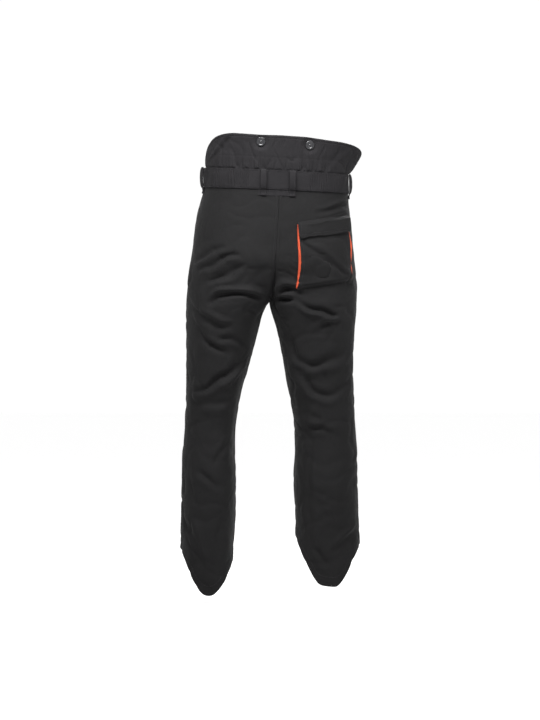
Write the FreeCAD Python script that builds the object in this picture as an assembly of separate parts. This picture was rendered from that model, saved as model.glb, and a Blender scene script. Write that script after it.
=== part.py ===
import FreeCAD, Part
import math
import os
from FreeCAD import Placement, Rotation, Vector

# Chainsaw protective trousers, hanging open as if worn.  Millimetres.
# z = 0 is the top edge of the waistband, the front faces -Y and +X is the wearer's left.

# ---- driving dimensions -------------------------------------------------
WAISTBAND_HEIGHT = 46.0
CROTCH_Z = -302.0
RISE_CURVE = 110.0          # height of the curved part of the seat and front seams
ROW_DIP = 70.0              # how far the cloth's rows dip away from the crotch
WAIST_TILT = 0.05           # the waist sits a little higher at the wearer's left
FLY_SLOPE = 0.08            # the front line leans forward as it goes down
WAIST_FRONT = 116.0         # distance from the axis of the waist to the front line
SUPERELLIPSE = 2.35
CLOTH = 1.5
SEAM_GAP = 0.4

# Pelvis: height, left side, right side, back depth.
PELVIS = [
    (0.0, 171.0, 170.0, 118.0),
    (-50.0, 173.0, 170.0, 122.0),
    (-106.0, 190.0, 175.0, 130.0),
    (-182.0, 204.0, 182.0, 138.0),
    (-250.0, 213.0, 185.0, 142.0),
    (-310.0, 216.0, 190.0, 140.0),
]
# Legs: height, inner x, outer x, front y, back y.
LEG = {
    1: [
        (-190.0, 8.4, 206.0, -131.0, 139.0),
        (-302.0, 22.6, 216.0, -121.0, 128.0),
        (-370.0, 43.0, 216.0, -110.0, 112.0),
        (-450.0, 65.0, 217.0, -104.0, 98.0),
        (-600.0, 98.0, 224.0, -96.0, 80.0),
        (-740.0, 100.0, 226.0, -87.0, 84.0),
        (-890.0, 103.0, 231.0, -84.0, 92.0),
        (-1040.0, 104.0, 234.0, -84.0, 96.0),
    ],
    -1: [
        (-190.0, 7.6, -183.0, -131.0, 139.0),
        (-302.0, 21.4, -190.0, -121.0, 128.0),
        (-370.0, 3.0, -187.0, -110.0, 112.0),
        (-450.0, -14.0, -183.0, -104.0, 98.0),
        (-600.0, -41.0, -188.0, -96.0, 80.0),
        (-740.0, -40.0, -193.0, -87.0, 84.0),
        (-890.0, -46.0, -198.0, -84.0, 92.0),
        (-1040.0, -48.0, -197.0, -84.0, 96.0),
    ],
}
# Hem: height at the sides, drop to the point at the heel, rise over the instep.
HEM = {1: (-915.0, 105.0, 16.0), -1: (-882.0, 121.0, 16.0)}
HEM_POWER = 1.8

# Rows of the surface: v = -1 hem, 0 crotch, 1 top of the curved rise, 2 waistband top.
RISE_TOP_Z = CROTCH_Z + RISE_CURVE

KIDNEY_LEFT = 0.456
KIDNEY_RIGHT = 0.50
ZIP_TOP = 47.0
ZIP_BOTTOM = 192.0
ZIP_TRAVEL = 126.0
TOOTH_PITCH = 3.0
COVER_RISE = 5.3            # room for the zip's slider and pull tab under the fly cover
PULL_TAB_LENGTH = 15.0
BUTTON_RADIUS = 9.5
BACK_BUTTONS = [(38.0, 68.0), (-76.0, 60.0)]
FRONT_BUTTONS = [(98.0, -15.0), (54.0, -15.0), (-54.0, -15.0), (-98.0, -15.0)]

os.makedirs("parts", exist_ok=True)


# ---- small helpers ------------------------------------------------------
def lerp(a, b, t):
    return a + (b - a) * t


def smooth(t):
    t = min(1.0, max(0.0, t))
    return t * t * (3.0 - 2.0 * t)


def signed_power(value, power):
    return math.copysign(abs(value) ** power, value)


def station(table, z):
    """Values of a height table at z, along a smooth curve through its rows."""
    rows = sorted(table)
    z = min(rows[-1][0], max(rows[0][0], z))
    i = max(k for k in range(len(rows) - 1) if rows[k][0] <= z or k == 0)
    before, low, high, after = rows[max(i - 1, 0)], rows[i], rows[i + 1], rows[min(i + 2, len(rows) - 1)]
    span = high[0] - low[0]
    t = (z - low[0]) / span
    values = []
    for k in range(1, len(low)):
        slope_low = (high[k] - before[k]) / (high[0] - before[0]) * span
        slope_high = (after[k] - low[k]) / (after[0] - low[0]) * span
        values.append(
            low[k] * (2 * t**3 - 3 * t**2 + 1)
            + high[k] * (3 * t**2 - 2 * t**3)
            + slope_low * (t**3 - 2 * t**2 + t)
            + slope_high * (t**3 - t**2)
        )
    return values


def save(node, *solids):
    shape = solids[0] if len(solids) == 1 else Part.Compound(list(solids))
    shape.exportStep("parts/%s.step" % node)


# ---- the shape of the garment ------------------------------------------
def leg_ring(side, u, z):
    """A leg's outline: u = 0 inseam, 0.25 back, 0.5 outseam, 0.75 front."""
    inner, outer, front, back = station(LEG[side], z)
    power = 2.0 / SUPERELLIPSE
    x = (inner + outer) / 2 + (inner - outer) / 2 * signed_power(math.cos(2 * math.pi * u), power)
    y = (front + back) / 2 + (back - front) / 2 * signed_power(math.sin(2 * math.pi * u), power)
    return x, y


def centre_back_x(z):
    """The seat seam wanders a little to the left as it goes down."""
    return lerp(-6.0, 6.0, smooth(z / CROTCH_Z))


def hip_share(u):
    """How far round the hips a column lies, so that it carries on from the leg's column."""
    if u > 0.5:
        return 1.0 - hip_share(1.0 - u)
    return 0.36 * u + 1.28 * u * u


def pelvis_arc(side, u, z):
    """Half of the hips' outline: u = 0 centre back, 0.5 side, 1 centre front."""
    left, right, back = station(PELVIS, z)
    reach = left if side > 0 else -right
    front = WAIST_FRONT - FLY_SLOPE * z
    power = 2.0 / SUPERELLIPSE
    angle = math.pi * hip_share(u)
    across = math.cos(angle)
    lean = centre_back_x(z) * (across + 1.0) / 2.0
    x = lean + (reach - centre_back_x(z) / 2.0) * signed_power(math.sin(angle), power)
    y = (back if across > 0 else front) * signed_power(across, power)
    return x, y


def hem_z(side, u):
    """The hem falls to a point at the heel and rises over the instep."""
    level, drop, rise = HEM[side]
    across = abs(math.cos(2 * math.pi * u))
    arch = 1.0 - across**HEM_POWER
    tilt = 12.0 * side * (1 if math.cos(2 * math.pi * u) < 0 else -1) * across
    return level + tilt + (-drop if u < 0.5 else rise) * arch


def crotch_row_z(u):
    """The row through the crotch dips away from it on both sides."""
    return CROTCH_Z - ROW_DIP * (1 - math.exp(-min(u, 1 - u) / 0.06))


def surface(side, u, v):
    """A point of the outside of the cloth."""
    if v <= 0:
        z = lerp(crotch_row_z(u), hem_z(side, u), -v)
        x, y = leg_ring(side, u, z)
        return Vector(x, y, z)
    if v < 1:
        z, share = rise_row(u, v)
        low = leg_ring(side, u, z)
        high = pelvis_arc(side, u, z)
        return Vector(lerp(low[0], high[0], share), lerp(low[1], high[1], share), z)
    z = lerp(RISE_TOP_Z, 0.0, v - 1)
    x, y = pelvis_arc(side, u, z)
    front_fade = 1.0 if u < 0.5 else math.sin(math.pi * u) ** 2
    return Vector(x, y, z + WAIST_TILT * x * front_fade * smooth(v - 1))


def rise_row(u, v):
    """Height of a row of the curved rise, and how far it has passed from leg to hips."""
    angle = v * math.pi / 2
    seam = math.exp(-((min(u, 1 - u) / 0.09) ** 2))
    climb = lerp(v, 1 - math.cos(angle), seam)
    share = lerp(smooth(v), math.sin(angle), seam)
    return lerp(crotch_row_z(u), RISE_TOP_Z, climb), share


def skin(side, u, v, offset):
    """The surface point moved outward by the offset along the cloth's normal."""
    step = 0.004
    u_low, u_high = max(0.0, u - step), min(1.0, u + step)
    along = surface(side, u_high, v) - surface(side, u_low, v)
    up = surface(side, u, v + step) - surface(side, u, v - step)
    normal = up.cross(along) * side
    normal.normalize()
    return surface(side, u, v) + normal * offset


def v_at(z, u=0.5):
    """The row that passes through a height above the crotch."""
    if z >= RISE_TOP_Z:
        return 1.0 + (z - RISE_TOP_Z) / -RISE_TOP_Z
    low, high = 0.0, 1.0
    for _ in range(30):
        middle = (low + high) / 2
        if rise_row(u, middle)[0] < z:
            low = middle
        else:
            high = middle
    return (low + high) / 2


def around(a, z, offset):
    """A point at a height: a = 0 centre back, above 0 to the left, below 0 to the right."""
    side = 1 if a >= 0 else -1
    return skin(side, abs(a), v_at(z), offset)


def column_at(x, z, front):
    """The value of a that reaches x at a height, on the front or on the back."""
    side = 1 if x >= 0 else -1
    low, high = (0.5, 1.0) if front else (0.0, 0.5)
    for _ in range(40):
        middle = (low + high) / 2
        reach = surface(side, middle, v_at(z)).x * side
        if (reach > abs(x)) == front:
            low = middle
        else:
            high = middle
    return side * (low + high) / 2


# ---- building cloth pieces ---------------------------------------------
def sheet_through(points):
    sheet = Part.BSplineSurface()
    sheet.interpolate(points)
    return sheet


def outline(sheet):
    """The four boundary curves of a sheet, each running the same way on every sheet."""
    u_low, u_high, v_low, v_high = sheet.bounds()
    return [sheet.uIso(u_low), sheet.uIso(u_high), sheet.vIso(v_low), sheet.vIso(v_high)]


def ribbon(low_curve, high_curve):
    """The narrow face that closes one edge of a cloth piece."""
    face = Part.BSplineSurface()
    face.buildFromNSections([low_curve, high_curve])
    return face.toShape()


def quilt(place, columns, rows, inner, outer):
    """A closed solid between two sheets; place(s, t, offset) gives their points."""
    def depth(offset, s, t):
        return offset(s, t) if callable(offset) else offset

    sheets = []
    for offset in (inner, outer):
        sheets.append(sheet_through([[place(s, t, depth(offset, s, t)) for t in rows] for s in columns]))
    faces = [sheet.toShape() for sheet in sheets]
    for low_curve, high_curve in zip(outline(sheets[0]), outline(sheets[1])):
        faces.append(ribbon(low_curve, high_curve))
    shell = Part.Compound(faces)
    shell.sewShape(0.02)
    solid = Part.Solid(shell.Shells[0])
    if solid.Volume < 0:
        solid.reverse()
    return solid


def spread(count, low=0.0, high=1.0):
    return [lerp(low, high, k / float(count - 1)) for k in range(count)]


def eased(count):
    """Even steps that crowd towards both ends."""
    return [(1 - math.cos(math.pi * k / (count - 1))) / 2 for k in range(count)]


def cloth_rows(v_low, v_high):
    """Rows for a long cloth piece, closer together at the crotch."""
    marks = spread(27, -1.0, -0.03) + [-0.012, 0.0, 0.03] + spread(11, 0.08, 1.0) + spread(9, 1.11, 2.0)
    inside = [v for v in marks if v_low + 0.012 < v < v_high - 0.012]
    return [v_low] + inside + [v_high]


def panel(side, u_low, u_high, v_low, v_high, inner, outer, columns=None):
    """A long cloth piece of one leg between two columns of the surface."""
    def place(s, v, offset):
        point = skin(side, lerp(u_low, u_high, s), v, offset)
        return point + Vector(side * SEAM_GAP / 2, 0, 0)

    return quilt(place, columns or spread(21), cloth_rows(v_low, v_high), inner, outer)


def belt(a_low, a_high, z_low, z_high, inner, outer, columns, rows=4):
    """A piece that goes round the hips; the ends and the edges may be functions."""
    def place(s, t, offset):
        top = z_high(s) if callable(z_high) else z_high
        bottom = z_low(s) if callable(z_low) else z_low
        return around(lerp(a_low, a_high, s), lerp(bottom, top, t), offset)

    return quilt(place, spread(columns), spread(rows), inner, outer)


# ---- hardware at the front, built upright and then leaned with the fly --
FLY_PLACE = Placement(
    Vector(0, -WAIST_FRONT, 0), Rotation(Vector(1, 0, 0), -math.degrees(math.atan(FLY_SLOPE)))
)


def lean(shape):
    shape.Placement = FLY_PLACE.multiply(shape.Placement)
    return shape


def fly_box(x_low, x_high, down_low, down_high, out_low, out_high):
    """A block at the fly: x, distance down from the waist, distance out from the cloth."""
    return Part.makeBox(
        x_high - x_low,
        out_high - out_low,
        down_high - down_low,
        Vector(x_low, -out_high, -down_high),
    )


def fly_disc(radius, x, down, out_low, out_high):
    return Part.makeCylinder(radius, out_high - out_low, Vector(x, -out_low, -down), Vector(0, -1, 0))


def slit(half_width, z_low=-ZIP_BOTTOM, z_high=30.0):
    """The space that the fly leaves open in the cloth."""
    return Part.makeBox(2 * half_width, 90, z_high - z_low, Vector(-half_width, -170, z_low))


# ---- cloth --------------------------------------------------------------
EDGE = 0.0006               # keeps neighbouring panels a hair apart at their seams
TUCK = v_at(-40.0)
LINING_TOP = v_at(-48.0)
PAD_LOW = -0.81
PAD_HIGH = 0.74
PAD_SIDES = (0.545, 0.955)
PAD_LAYERS = [(-4.0, -2.0), (-6.1, -4.15), (-8.2, -6.25)]


def pad_fullness(u, v):
    """1 where the lining lies over the pad, 0 where it lies against the cloth."""
    across = smooth((u - 0.505) / 0.035) * smooth((0.995 - u) / 0.035)
    return across * smooth((v + 0.93) / 0.12) * smooth((0.96 - v) / 0.16)


def build_panels():
    for side, name in ((1, "left"), (-1, "right")):
        back = panel(side, EDGE, 0.5 - EDGE, -1.0, TUCK, -CLOTH, 0.0)
        front = panel(side, 0.5 + EDGE, 1 - EDGE, -1.0, TUCK, -CLOTH, 0.0)
        save("back_panel_" + name, back)
        save("front_panel_" + name, front.cut(slit(6.0)))


def build_linings():
    for side, name in ((1, "left"), (-1, "right")):
        back = panel(side, 0.004, 0.496, -0.985, LINING_TOP, -3.2, -2.2)
        save("back_lining_" + name, back)

        def deep(layer):
            return lambda s, v: layer - 6.4 * pad_fullness(lerp(0.504, 0.996, s), v)

        front = panel(side, 0.504, 0.996, -0.985, LINING_TOP, deep(-3.2), deep(-2.2), eased(33))
        save("front_lining_" + name, front.cut(slit(27.0, -205.0)))


def build_pads():
    for side, name in ((1, "left"), (-1, "right")):
        layers = []
        for inner, outer in PAD_LAYERS:
            layers.append(panel(side, PAD_SIDES[0], PAD_SIDES[1], PAD_LOW, PAD_HIGH, inner, outer))
        save("saw_pad_" + name, *layers)


def build_hem_facings():
    for side, name in ((1, "left"), (-1, "right")):
        ring = panel(side, 0.004, 0.996, -0.992, -0.94, -5.2, -4.1, spread(41))
        save("hem_facing_" + name, ring)


# ---- waistband ----------------------------------------------------------
BAND_FACE = 2.4             # the outside of the waistband
OVERLAP_HINGE_X = 38.5
BAND_LEFT = column_at(OVERLAP_HINGE_X + 0.5, -20.0, True)
SNAP_X = -9.0
SNAP_DOWN = 23.0


def build_waistband():
    hole = lean(fly_disc(1.5, SNAP_X, SNAP_DOWN, -8, 6))
    outer = belt(-0.999, BAND_LEFT, -WAISTBAND_HEIGHT, 0.0, 0.8, BAND_FACE, 61)
    facing = belt(-0.999, BAND_LEFT, -WAISTBAND_HEIGHT, -0.5, -3.2, -1.8, 61)
    for column, height in FRONT_BUTTONS:
        button_hole = tack_axis(column, height, True, 1.7, -8.0, 8.0)
        outer = outer.cut(button_hole)
        facing = facing.cut(button_hole)
    save("waistband_outer", outer.cut(hole))
    save("waistband_facing", facing.cut(hole))
    save("waist_elastic_left", belt(0.25, 0.456, -38.0, -4.0, -1.6, -0.1, 17))
    save("waist_elastic_right", belt(-0.456, -0.25, -38.0, -4.0, -1.6, -0.1, 17))


# ---- kidney panel -------------------------------------------------------
def kidney_point(s, t, offset):
    """s = 0 at the wearer's left end, 1 at the right end; t = 0 at the waistband."""
    a = lerp(KIDNEY_LEFT, -KIDNEY_RIGHT, s)
    corner = math.sqrt(max(0.0, 1 - (1 - min(1.0, s / 0.14)) ** 2))
    far_corner = math.sqrt(max(0.0, 1 - (1 - min(1.0, (1 - s) / 0.05)) ** 2))
    height = lerp(86.0, 62.0, s) - 52.0 * (1 - corner) - 14.0 * (1 - far_corner)
    rise = 0.4 + t * height
    flare = (rise / 80.0) ** 1.3 * (9.0 + 26.0 * smooth((s - 0.72) / 0.28))
    base = around(a, 0.0, offset)
    outward = around(a, 0.0, offset + 1.0) - base
    outward.z = 0
    outward.normalize()
    return base + outward * flare + Vector(0, 0, rise)


def build_kidney_panel():
    def inset(margin):
        return lambda s, t, offset: kidney_point(lerp(margin, 1 - margin, s), t * (1 - 2 * margin), offset)

    outer = quilt(inset(0.0), eased(41), spread(9), 0.1, 1.3)
    foam = quilt(inset(0.012), eased(41), spread(9), -4.5, -0.3)
    lining = quilt(inset(0.0), eased(41), spread(9), -6.2, -5.0)
    for column, height in BACK_BUTTONS:
        hole = tack_axis(column, height, False, 1.7, -12.0, 6.0)
        outer = outer.cut(hole)
        foam = foam.cut(hole)
        lining = lining.cut(hole)
    save("kidney_outer", outer)
    save("kidney_foam", foam)
    save("kidney_lining", lining)


# ---- belt loops ---------------------------------------------------------
LOOP_WIDTH = 11.0
LOOP_STAND = 6.8            # room for a belt between the loop and the waistband
FRONT_LOOP_STAND = 8.2      # the front loops stand on a tighter curve
LOOP_TOP = 2.0
LOOP_BOTTOM = -60.0
LOOP_COLUMNS = {
    "belt_loops_back": [(31.0, False), (-36.0, False)],
    "belt_loops_side": [(None, 1), (None, -1)],
    "belt_loops_front": [(76.0, True), (-76.0, True)],
}


def loop_offset(height, stand):
    """How far the loop's inner face stands off at each height."""
    band = BAND_FACE + 0.3 + stand * math.sqrt(max(0.0, 1 - ((height + 22.0) / 24.5) ** 2))
    below = lerp(BAND_FACE + 0.3, 1.7, smooth((-46.0 - height) / 8.0))
    return band if height > -46.0 else below


def belt_loop(middle, stand):
    half = LOOP_WIDTH / 2 / 540.0

    def place(s, t, offset):
        height = lerp(LOOP_BOTTOM, LOOP_TOP, t)
        clipped = min(0.0, height)
        point = around(middle + lerp(-half, half, s), clipped, loop_offset(height, stand) + offset)
        return point + Vector(0, 0, height - clipped)

    return quilt(place, spread(4), spread(27), 0.0, 1.4)


def build_belt_loops():
    for node, loops in LOOP_COLUMNS.items():
        solids = []
        for x, where in loops:
            middle = 0.5 * where if x is None else column_at(x, -20.0, where)
            solids.append(belt_loop(middle, FRONT_LOOP_STAND if node == "belt_loops_front" else LOOP_STAND))
        save(node, *solids)
    left = column_at(45.0, -53.0, False)
    right = column_at(-45.0, -53.0, False)
    save("loop_base_strip", belt(right, left, -61.0, -46.6, 0.2, 1.1, 21))


# ---- brace buttons ------------------------------------------------------
def button_frame(column, height, front):
    """The seat of a button: a point of the cloth and the way the button faces."""
    if front:
        a = column_at(column, height, True)
        seat = around(a, height, 0.0)
        outward = around(a, height, 1.0) - seat
        return seat, outward
    s = 0.5
    low, high = 0.0, 1.0
    for _ in range(40):
        s = (low + high) / 2
        if kidney_point(s, 0.7, 0.0).x > column:
            low = s
        else:
            high = s
    t = 0.5
    for _ in range(6):
        t += (height - kidney_point(s, t, 0.0).z) / 80.0
    seat = kidney_point(s, t, 0.0)
    step = 0.01
    along = kidney_point(s + step, t, 0.0) - kidney_point(s - step, t, 0.0)
    up = kidney_point(s, t + step, 0.0) - kidney_point(s, t - step, 0.0)
    outward = up.cross(along) * -1.0
    outward.normalize()
    return seat, outward


def tack_axis(column, height, front, radius, low, high):
    seat, outward = button_frame(column, height, front)
    return Part.makeCylinder(radius, high - low, seat + outward * low, outward)


def turned(profile, seat, outward):
    """A closed outline of (radius, height) turned about the button's axis."""
    points = [Vector(r, 0, h) for r, h in profile]
    face = Part.Face(Part.makePolygon(points + [points[0]]))
    solid = face.revolve(Vector(0, 0, 0), Vector(0, 0, 1), 360)
    solid.Placement = Placement(seat, Rotation(Vector(0, 0, 1), outward))
    return solid


def button_cap(seat, outward, cloth_face):
    """A dished metal button with a rolled rim, hollow underneath."""
    low = cloth_face + 0.5
    profile = [
        (2.4, low),
        (BUTTON_RADIUS - 1.2, low),
        (BUTTON_RADIUS, low + 1.0),
        (BUTTON_RADIUS, low + 2.2),
        (BUTTON_RADIUS - 0.8, low + 3.2),
        (BUTTON_RADIUS - 2.4, low + 3.2),
        (BUTTON_RADIUS - 4.6, low + 2.0),
        (2.2, low + 2.0),
        (1.2, low + 2.7),
        (0.0, low + 2.9),
        (0.0, low + 1.5),
        (2.4, low + 1.5),
    ]
    return turned(profile, seat, outward)


def button_tack(seat, outward, cloth_face, back_face):
    """The tack's flat head behind the cloth and its shank up into the cap."""
    profile = [
        (0.0, back_face - 1.2),
        (5.0, back_face - 1.2),
        (5.0, back_face - 0.3),
        (1.4, back_face - 0.3),
        (1.4, cloth_face + 0.7),
        (2.0, cloth_face + 0.9),
        (2.0, cloth_face + 1.7),
        (0.0, cloth_face + 1.8),
    ]
    return turned(profile, seat, outward)


def build_buttons():
    tacks = []
    names = ["back_left", "back_right", "front_left_outer", "front_left_inner"]
    names += ["front_right_inner", "front_right_outer"]
    places = [(x, z, False) for x, z in BACK_BUTTONS] + [(x, z, True) for x, z in FRONT_BUTTONS]
    for name, (x, z, front) in zip(names, places):
        seat, outward = button_frame(x, z, front)
        cloth_face, back_face = (BAND_FACE, -3.2) if front else (1.3, -6.2)
        save("brace_button_" + name, button_cap(seat, outward, cloth_face))
        tacks.append(button_tack(seat, outward, cloth_face, back_face))
        print("button", name, [round(c, 3) for c in seat], [round(c, 5) for c in outward])
    save("brace_button_tacks", *tacks)


# ---- fly and waist fastening -------------------------------------------
def overlap_place(x_left, x_right, z_top, z_bottom):
    """A piece over the fly, given by x and height."""
    def place(s, t, offset):
        x = lerp(x_left, x_right, s)
        bottom = z_bottom(x) if callable(z_bottom) else z_bottom
        z = lerp(bottom, z_top, t)
        return around(column_at(x if abs(x) > 0.01 else 0.01, z, True), z, offset)

    return place


def build_fly_overlap():
    def cover_bottom(x):
        return -150.0 - 45.0 * math.sqrt(max(0.0, 1 - max(0.0, (x - 8.0) / 31.0) ** 2))

    def rise(base):
        return lambda s, t: base + COVER_RISE * smooth(s / 0.3)

    cover = quilt(overlap_place(38.0, -14.0, -48.5, cover_bottom), spread(23), spread(12), rise(0.3), rise(1.9))
    save("fly_cover", cover)
    tab = quilt(overlap_place(36.0, -26.0, -0.5, -45.5), spread(21), spread(5), 3.0, 5.0)
    save("waist_tab", tab.cut(lean(fly_disc(6.3, SNAP_X, SNAP_DOWN, 0, 9))))


def build_snap():
    cap = fly_disc(7.5, SNAP_X, SNAP_DOWN, 5.3, 6.5)
    rim = cap.Edges[0]
    cap = cap.makeFillet(0.5, [rim])
    ring = fly_disc(6.0, SNAP_X, SNAP_DOWN, 3.1, 5.1).cut(fly_disc(2.8, SNAP_X, SNAP_DOWN, 2.0, 4.5))
    stud = fly_disc(5.5, SNAP_X, SNAP_DOWN, 2.5, 2.9)
    stud = stud.fuse(fly_disc(2.3, SNAP_X, SNAP_DOWN, 2.9, 4.2))
    stud = stud.fuse(fly_disc(1.3, SNAP_X, SNAP_DOWN, -4.4, 2.5))
    plate = fly_disc(5.5, SNAP_X, SNAP_DOWN, -5.4, -4.4)
    save("waist_snap_cap", lean(cap))
    save("waist_snap_socket", lean(ring))
    save("waist_snap_stud", lean(stud))
    save("waist_snap_back_plate", lean(plate))


def build_zip():
    teeth = {1: [], -1: []}
    count = int((ZIP_BOTTOM - ZIP_TOP - 8.0) / TOOTH_PITCH)
    for k in range(count):
        for side in (1, -1):
            down = ZIP_TOP + 2.0 + TOOTH_PITCH * (k + (0.5 if side < 0 else 0.0))
            x_low, x_high = (0.6, 3.2) if side > 0 else (-3.2, -0.6)
            teeth[side].append(fly_box(x_low, x_high, down, down + 1.6, -3.7, -1.5))
    for side, name in ((1, "left"), (-1, "right")):
        x_low, x_high = (3.3, 15.0) if side > 0 else (-15.0, -3.3)
        tape = fly_box(x_low, x_high, ZIP_TOP + 0.6, ZIP_BOTTOM + 6, -3.0, -2.2)
        save("zip_tape_" + name, lean(tape))
        save("zip_teeth_" + name, lean(Part.Compound(teeth[side])))
    bottom = fly_box(-4.0, 4.0, ZIP_BOTTOM - 4.6, ZIP_BOTTOM - 1.0, -1.9, -1.0)
    tops = [fly_box(0.8, 3.2, ZIP_TOP - 0.1, ZIP_TOP + 1.0, -3.7, -1.5)]
    tops.append(fly_box(-3.2, -0.8, ZIP_TOP - 0.1, ZIP_TOP + 1.0, -3.7, -1.5))
    save("zip_bottom_stop", lean(bottom))
    save("zip_top_stops", lean(Part.Compound(tops)))
    save("fly_shield", lean(fly_box(-25.0, 23.0, 50.0, 200.0, -6.4, -5.6)))


def build_slider():
    down = ZIP_TOP + 1.2
    front = fly_box(-4.6, 4.6, down, down + 12.0, -1.2, 0.0)
    back = fly_box(-4.6, 4.6, down, down + 12.0, -5.1, -4.0)
    post = fly_box(-0.4, 0.4, down, down + 3.0, -4.0, -1.2)
    bail_feet = [fly_box(-1.0, 1.0, down + 1.6, down + 3.0, 0.0, 2.0)]
    bail_feet.append(fly_box(-1.0, 1.0, down + 7.4, down + 8.8, 0.0, 2.0))
    bail = fly_box(-1.0, 1.0, down + 1.6, down + 8.8, 2.0, 2.8)
    slider = front.fuse([back, post, bail] + bail_feet).removeSplitter()
    save("zip_slider", lean(slider))
    axis_down = down + 5.4
    tab = fly_box(-3.2, 3.2, axis_down - 1.6, axis_down + PULL_TAB_LENGTH, 0.5, 1.5)
    window = fly_box(-1.5, 1.5, axis_down + 1.0, axis_down + 4.2, 0.0, 2.0)
    grip = fly_box(-1.4, 1.4, axis_down + 9.0, axis_down + 13.0, 0.0, 2.0)
    save("zip_pull_tab", lean(tab.cut(window).cut(grip)))


# ---- back pocket --------------------------------------------------------
POCKET_INNER = 0.141        # the column of its inner edge at the flap's sewn edge
POCKET_INNER_FOOT = 0.196   # and at the foot, which keeps that edge upright
POCKET_OUTER = 0.425
POCKET_SIDE = -1
POCKET_HEIGHT = 137.0
POCKET_DEPTH = 9.0          # the bellows' depth at the foot
MOUTH_SHARE = 0.62          # and how much of it is left at the mouth
FLAP_TOP = 155.0            # height of the flap's sewn edge above the pocket's foot


def pocket_top(s):
    return lerp(-122.0, -101.0, s)


def pocket_bottom(s):
    return lerp(-276.0, -256.0, s)


def pocket_point(s, height, offset):
    """s = 0 at the edge by the seat seam, 1 by the side seam; height above the pocket's foot."""
    inner = lerp(POCKET_INNER_FOOT, POCKET_INNER, height / FLAP_TOP)
    u = lerp(inner, POCKET_OUTER, s)
    return skin(POCKET_SIDE, u, v_at(pocket_bottom(s) + height, u), offset)


def pocket_front(base):
    """The front's distance from the trousers at each height, t = 1 at the mouth."""
    def offset(s, t):
        return base + POCKET_DEPTH * lerp(MOUTH_SHARE, 1.0, smooth((1 - t) / 0.7))

    return offset


def side_wall(edge, sign):
    """An orange bellows fold from the trousers out to an edge of the front."""
    def place(s, t, thickness):
        reach = lerp(0.075, 0.006, s) * sign
        top = pocket_front(0)(edge, t) - 0.5
        beside = edge - reach + 0.004 * sign * thickness
        return pocket_point(beside, t * POCKET_HEIGHT, lerp(0.3, top, s))

    return quilt(place, spread(4), spread(13), 0.0, 1.2)


def pocket_floor():
    def place(s, t, thickness):
        height = lerp(-8.0, -0.8, t) - thickness
        return pocket_point(s, height, lerp(0.3, POCKET_DEPTH - 0.4, t))

    return quilt(place, spread(15), spread(4), 0.0, 1.0)


def tape_patch(s_low, s_high, h_low, h_high, offset, inner, outer):
    """A strip of touch tape; offset(height, base) is the face that it's sewn to."""
    def place(s, t, base):
        height = lerp(h_low, h_high, t)
        return pocket_point(lerp(s_low, s_high, s), height, offset(height, base))

    return quilt(place, spread(9), spread(4), inner, outer)


def build_back_pocket():
    def place(s, t, offset):
        return pocket_point(s, t * POCKET_HEIGHT, offset)

    front = quilt(place, spread(15), spread(13), pocket_front(0), pocket_front(1.2))
    save("back_pocket_front", front)
    save("back_pocket_gusset", side_wall(0.0, 1), side_wall(1.0, -1), pocket_floor())

    def face(height, base):
        return pocket_front(base)(0, height / POCKET_HEIGHT)

    save("pocket_loop_tape", tape_patch(0.3, 0.7, 117.0, 134.0, face, 1.3, 2.1))


FLAP_HEIGHT = 42.0
FLAP_STAND = 9.6            # the flap's distance from the trousers over the pocket
FLAP_RUN = 9.5              # how far below its sewn edge it has reached that distance


def flap_offset(height, base):
    """The flap leaves the cloth at its sewn edge and rides over the pocket's front."""
    return base + 1.0 + FLAP_STAND * smooth((FLAP_TOP - height) / FLAP_RUN)


def build_flap():
    def place(s, t, offset):
        height = lerp(FLAP_TOP - FLAP_HEIGHT, FLAP_TOP, t)
        return pocket_point(lerp(-0.035, 1.035, s), height, flap_offset(height, offset))

    save("back_pocket_flap", quilt(place, spread(17), spread(12), 0.0, 1.8))
    save("flap_hook_tape", tape_patch(0.32, 0.68, 118.0, 133.0, flap_offset, -0.8, -0.1))
    hinge = [pocket_point(s, FLAP_TOP, 1.9) for s in (0.0, 0.5, 1.0)]
    print("flap hinge", [[round(c, 3) for c in p] for p in hinge])


build_panels()
build_linings()
build_pads()
build_hem_facings()
build_waistband()
build_kidney_panel()
build_belt_loops()
build_buttons()
build_fly_overlap()
build_snap()
build_zip()
build_slider()
build_back_pocket()
build_flap()
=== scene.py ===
"""Chainsaw protective trousers: the looks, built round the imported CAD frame."""

import math

import bmesh
import bpy
import numpy as np
from mathutils import Matrix, Vector


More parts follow.
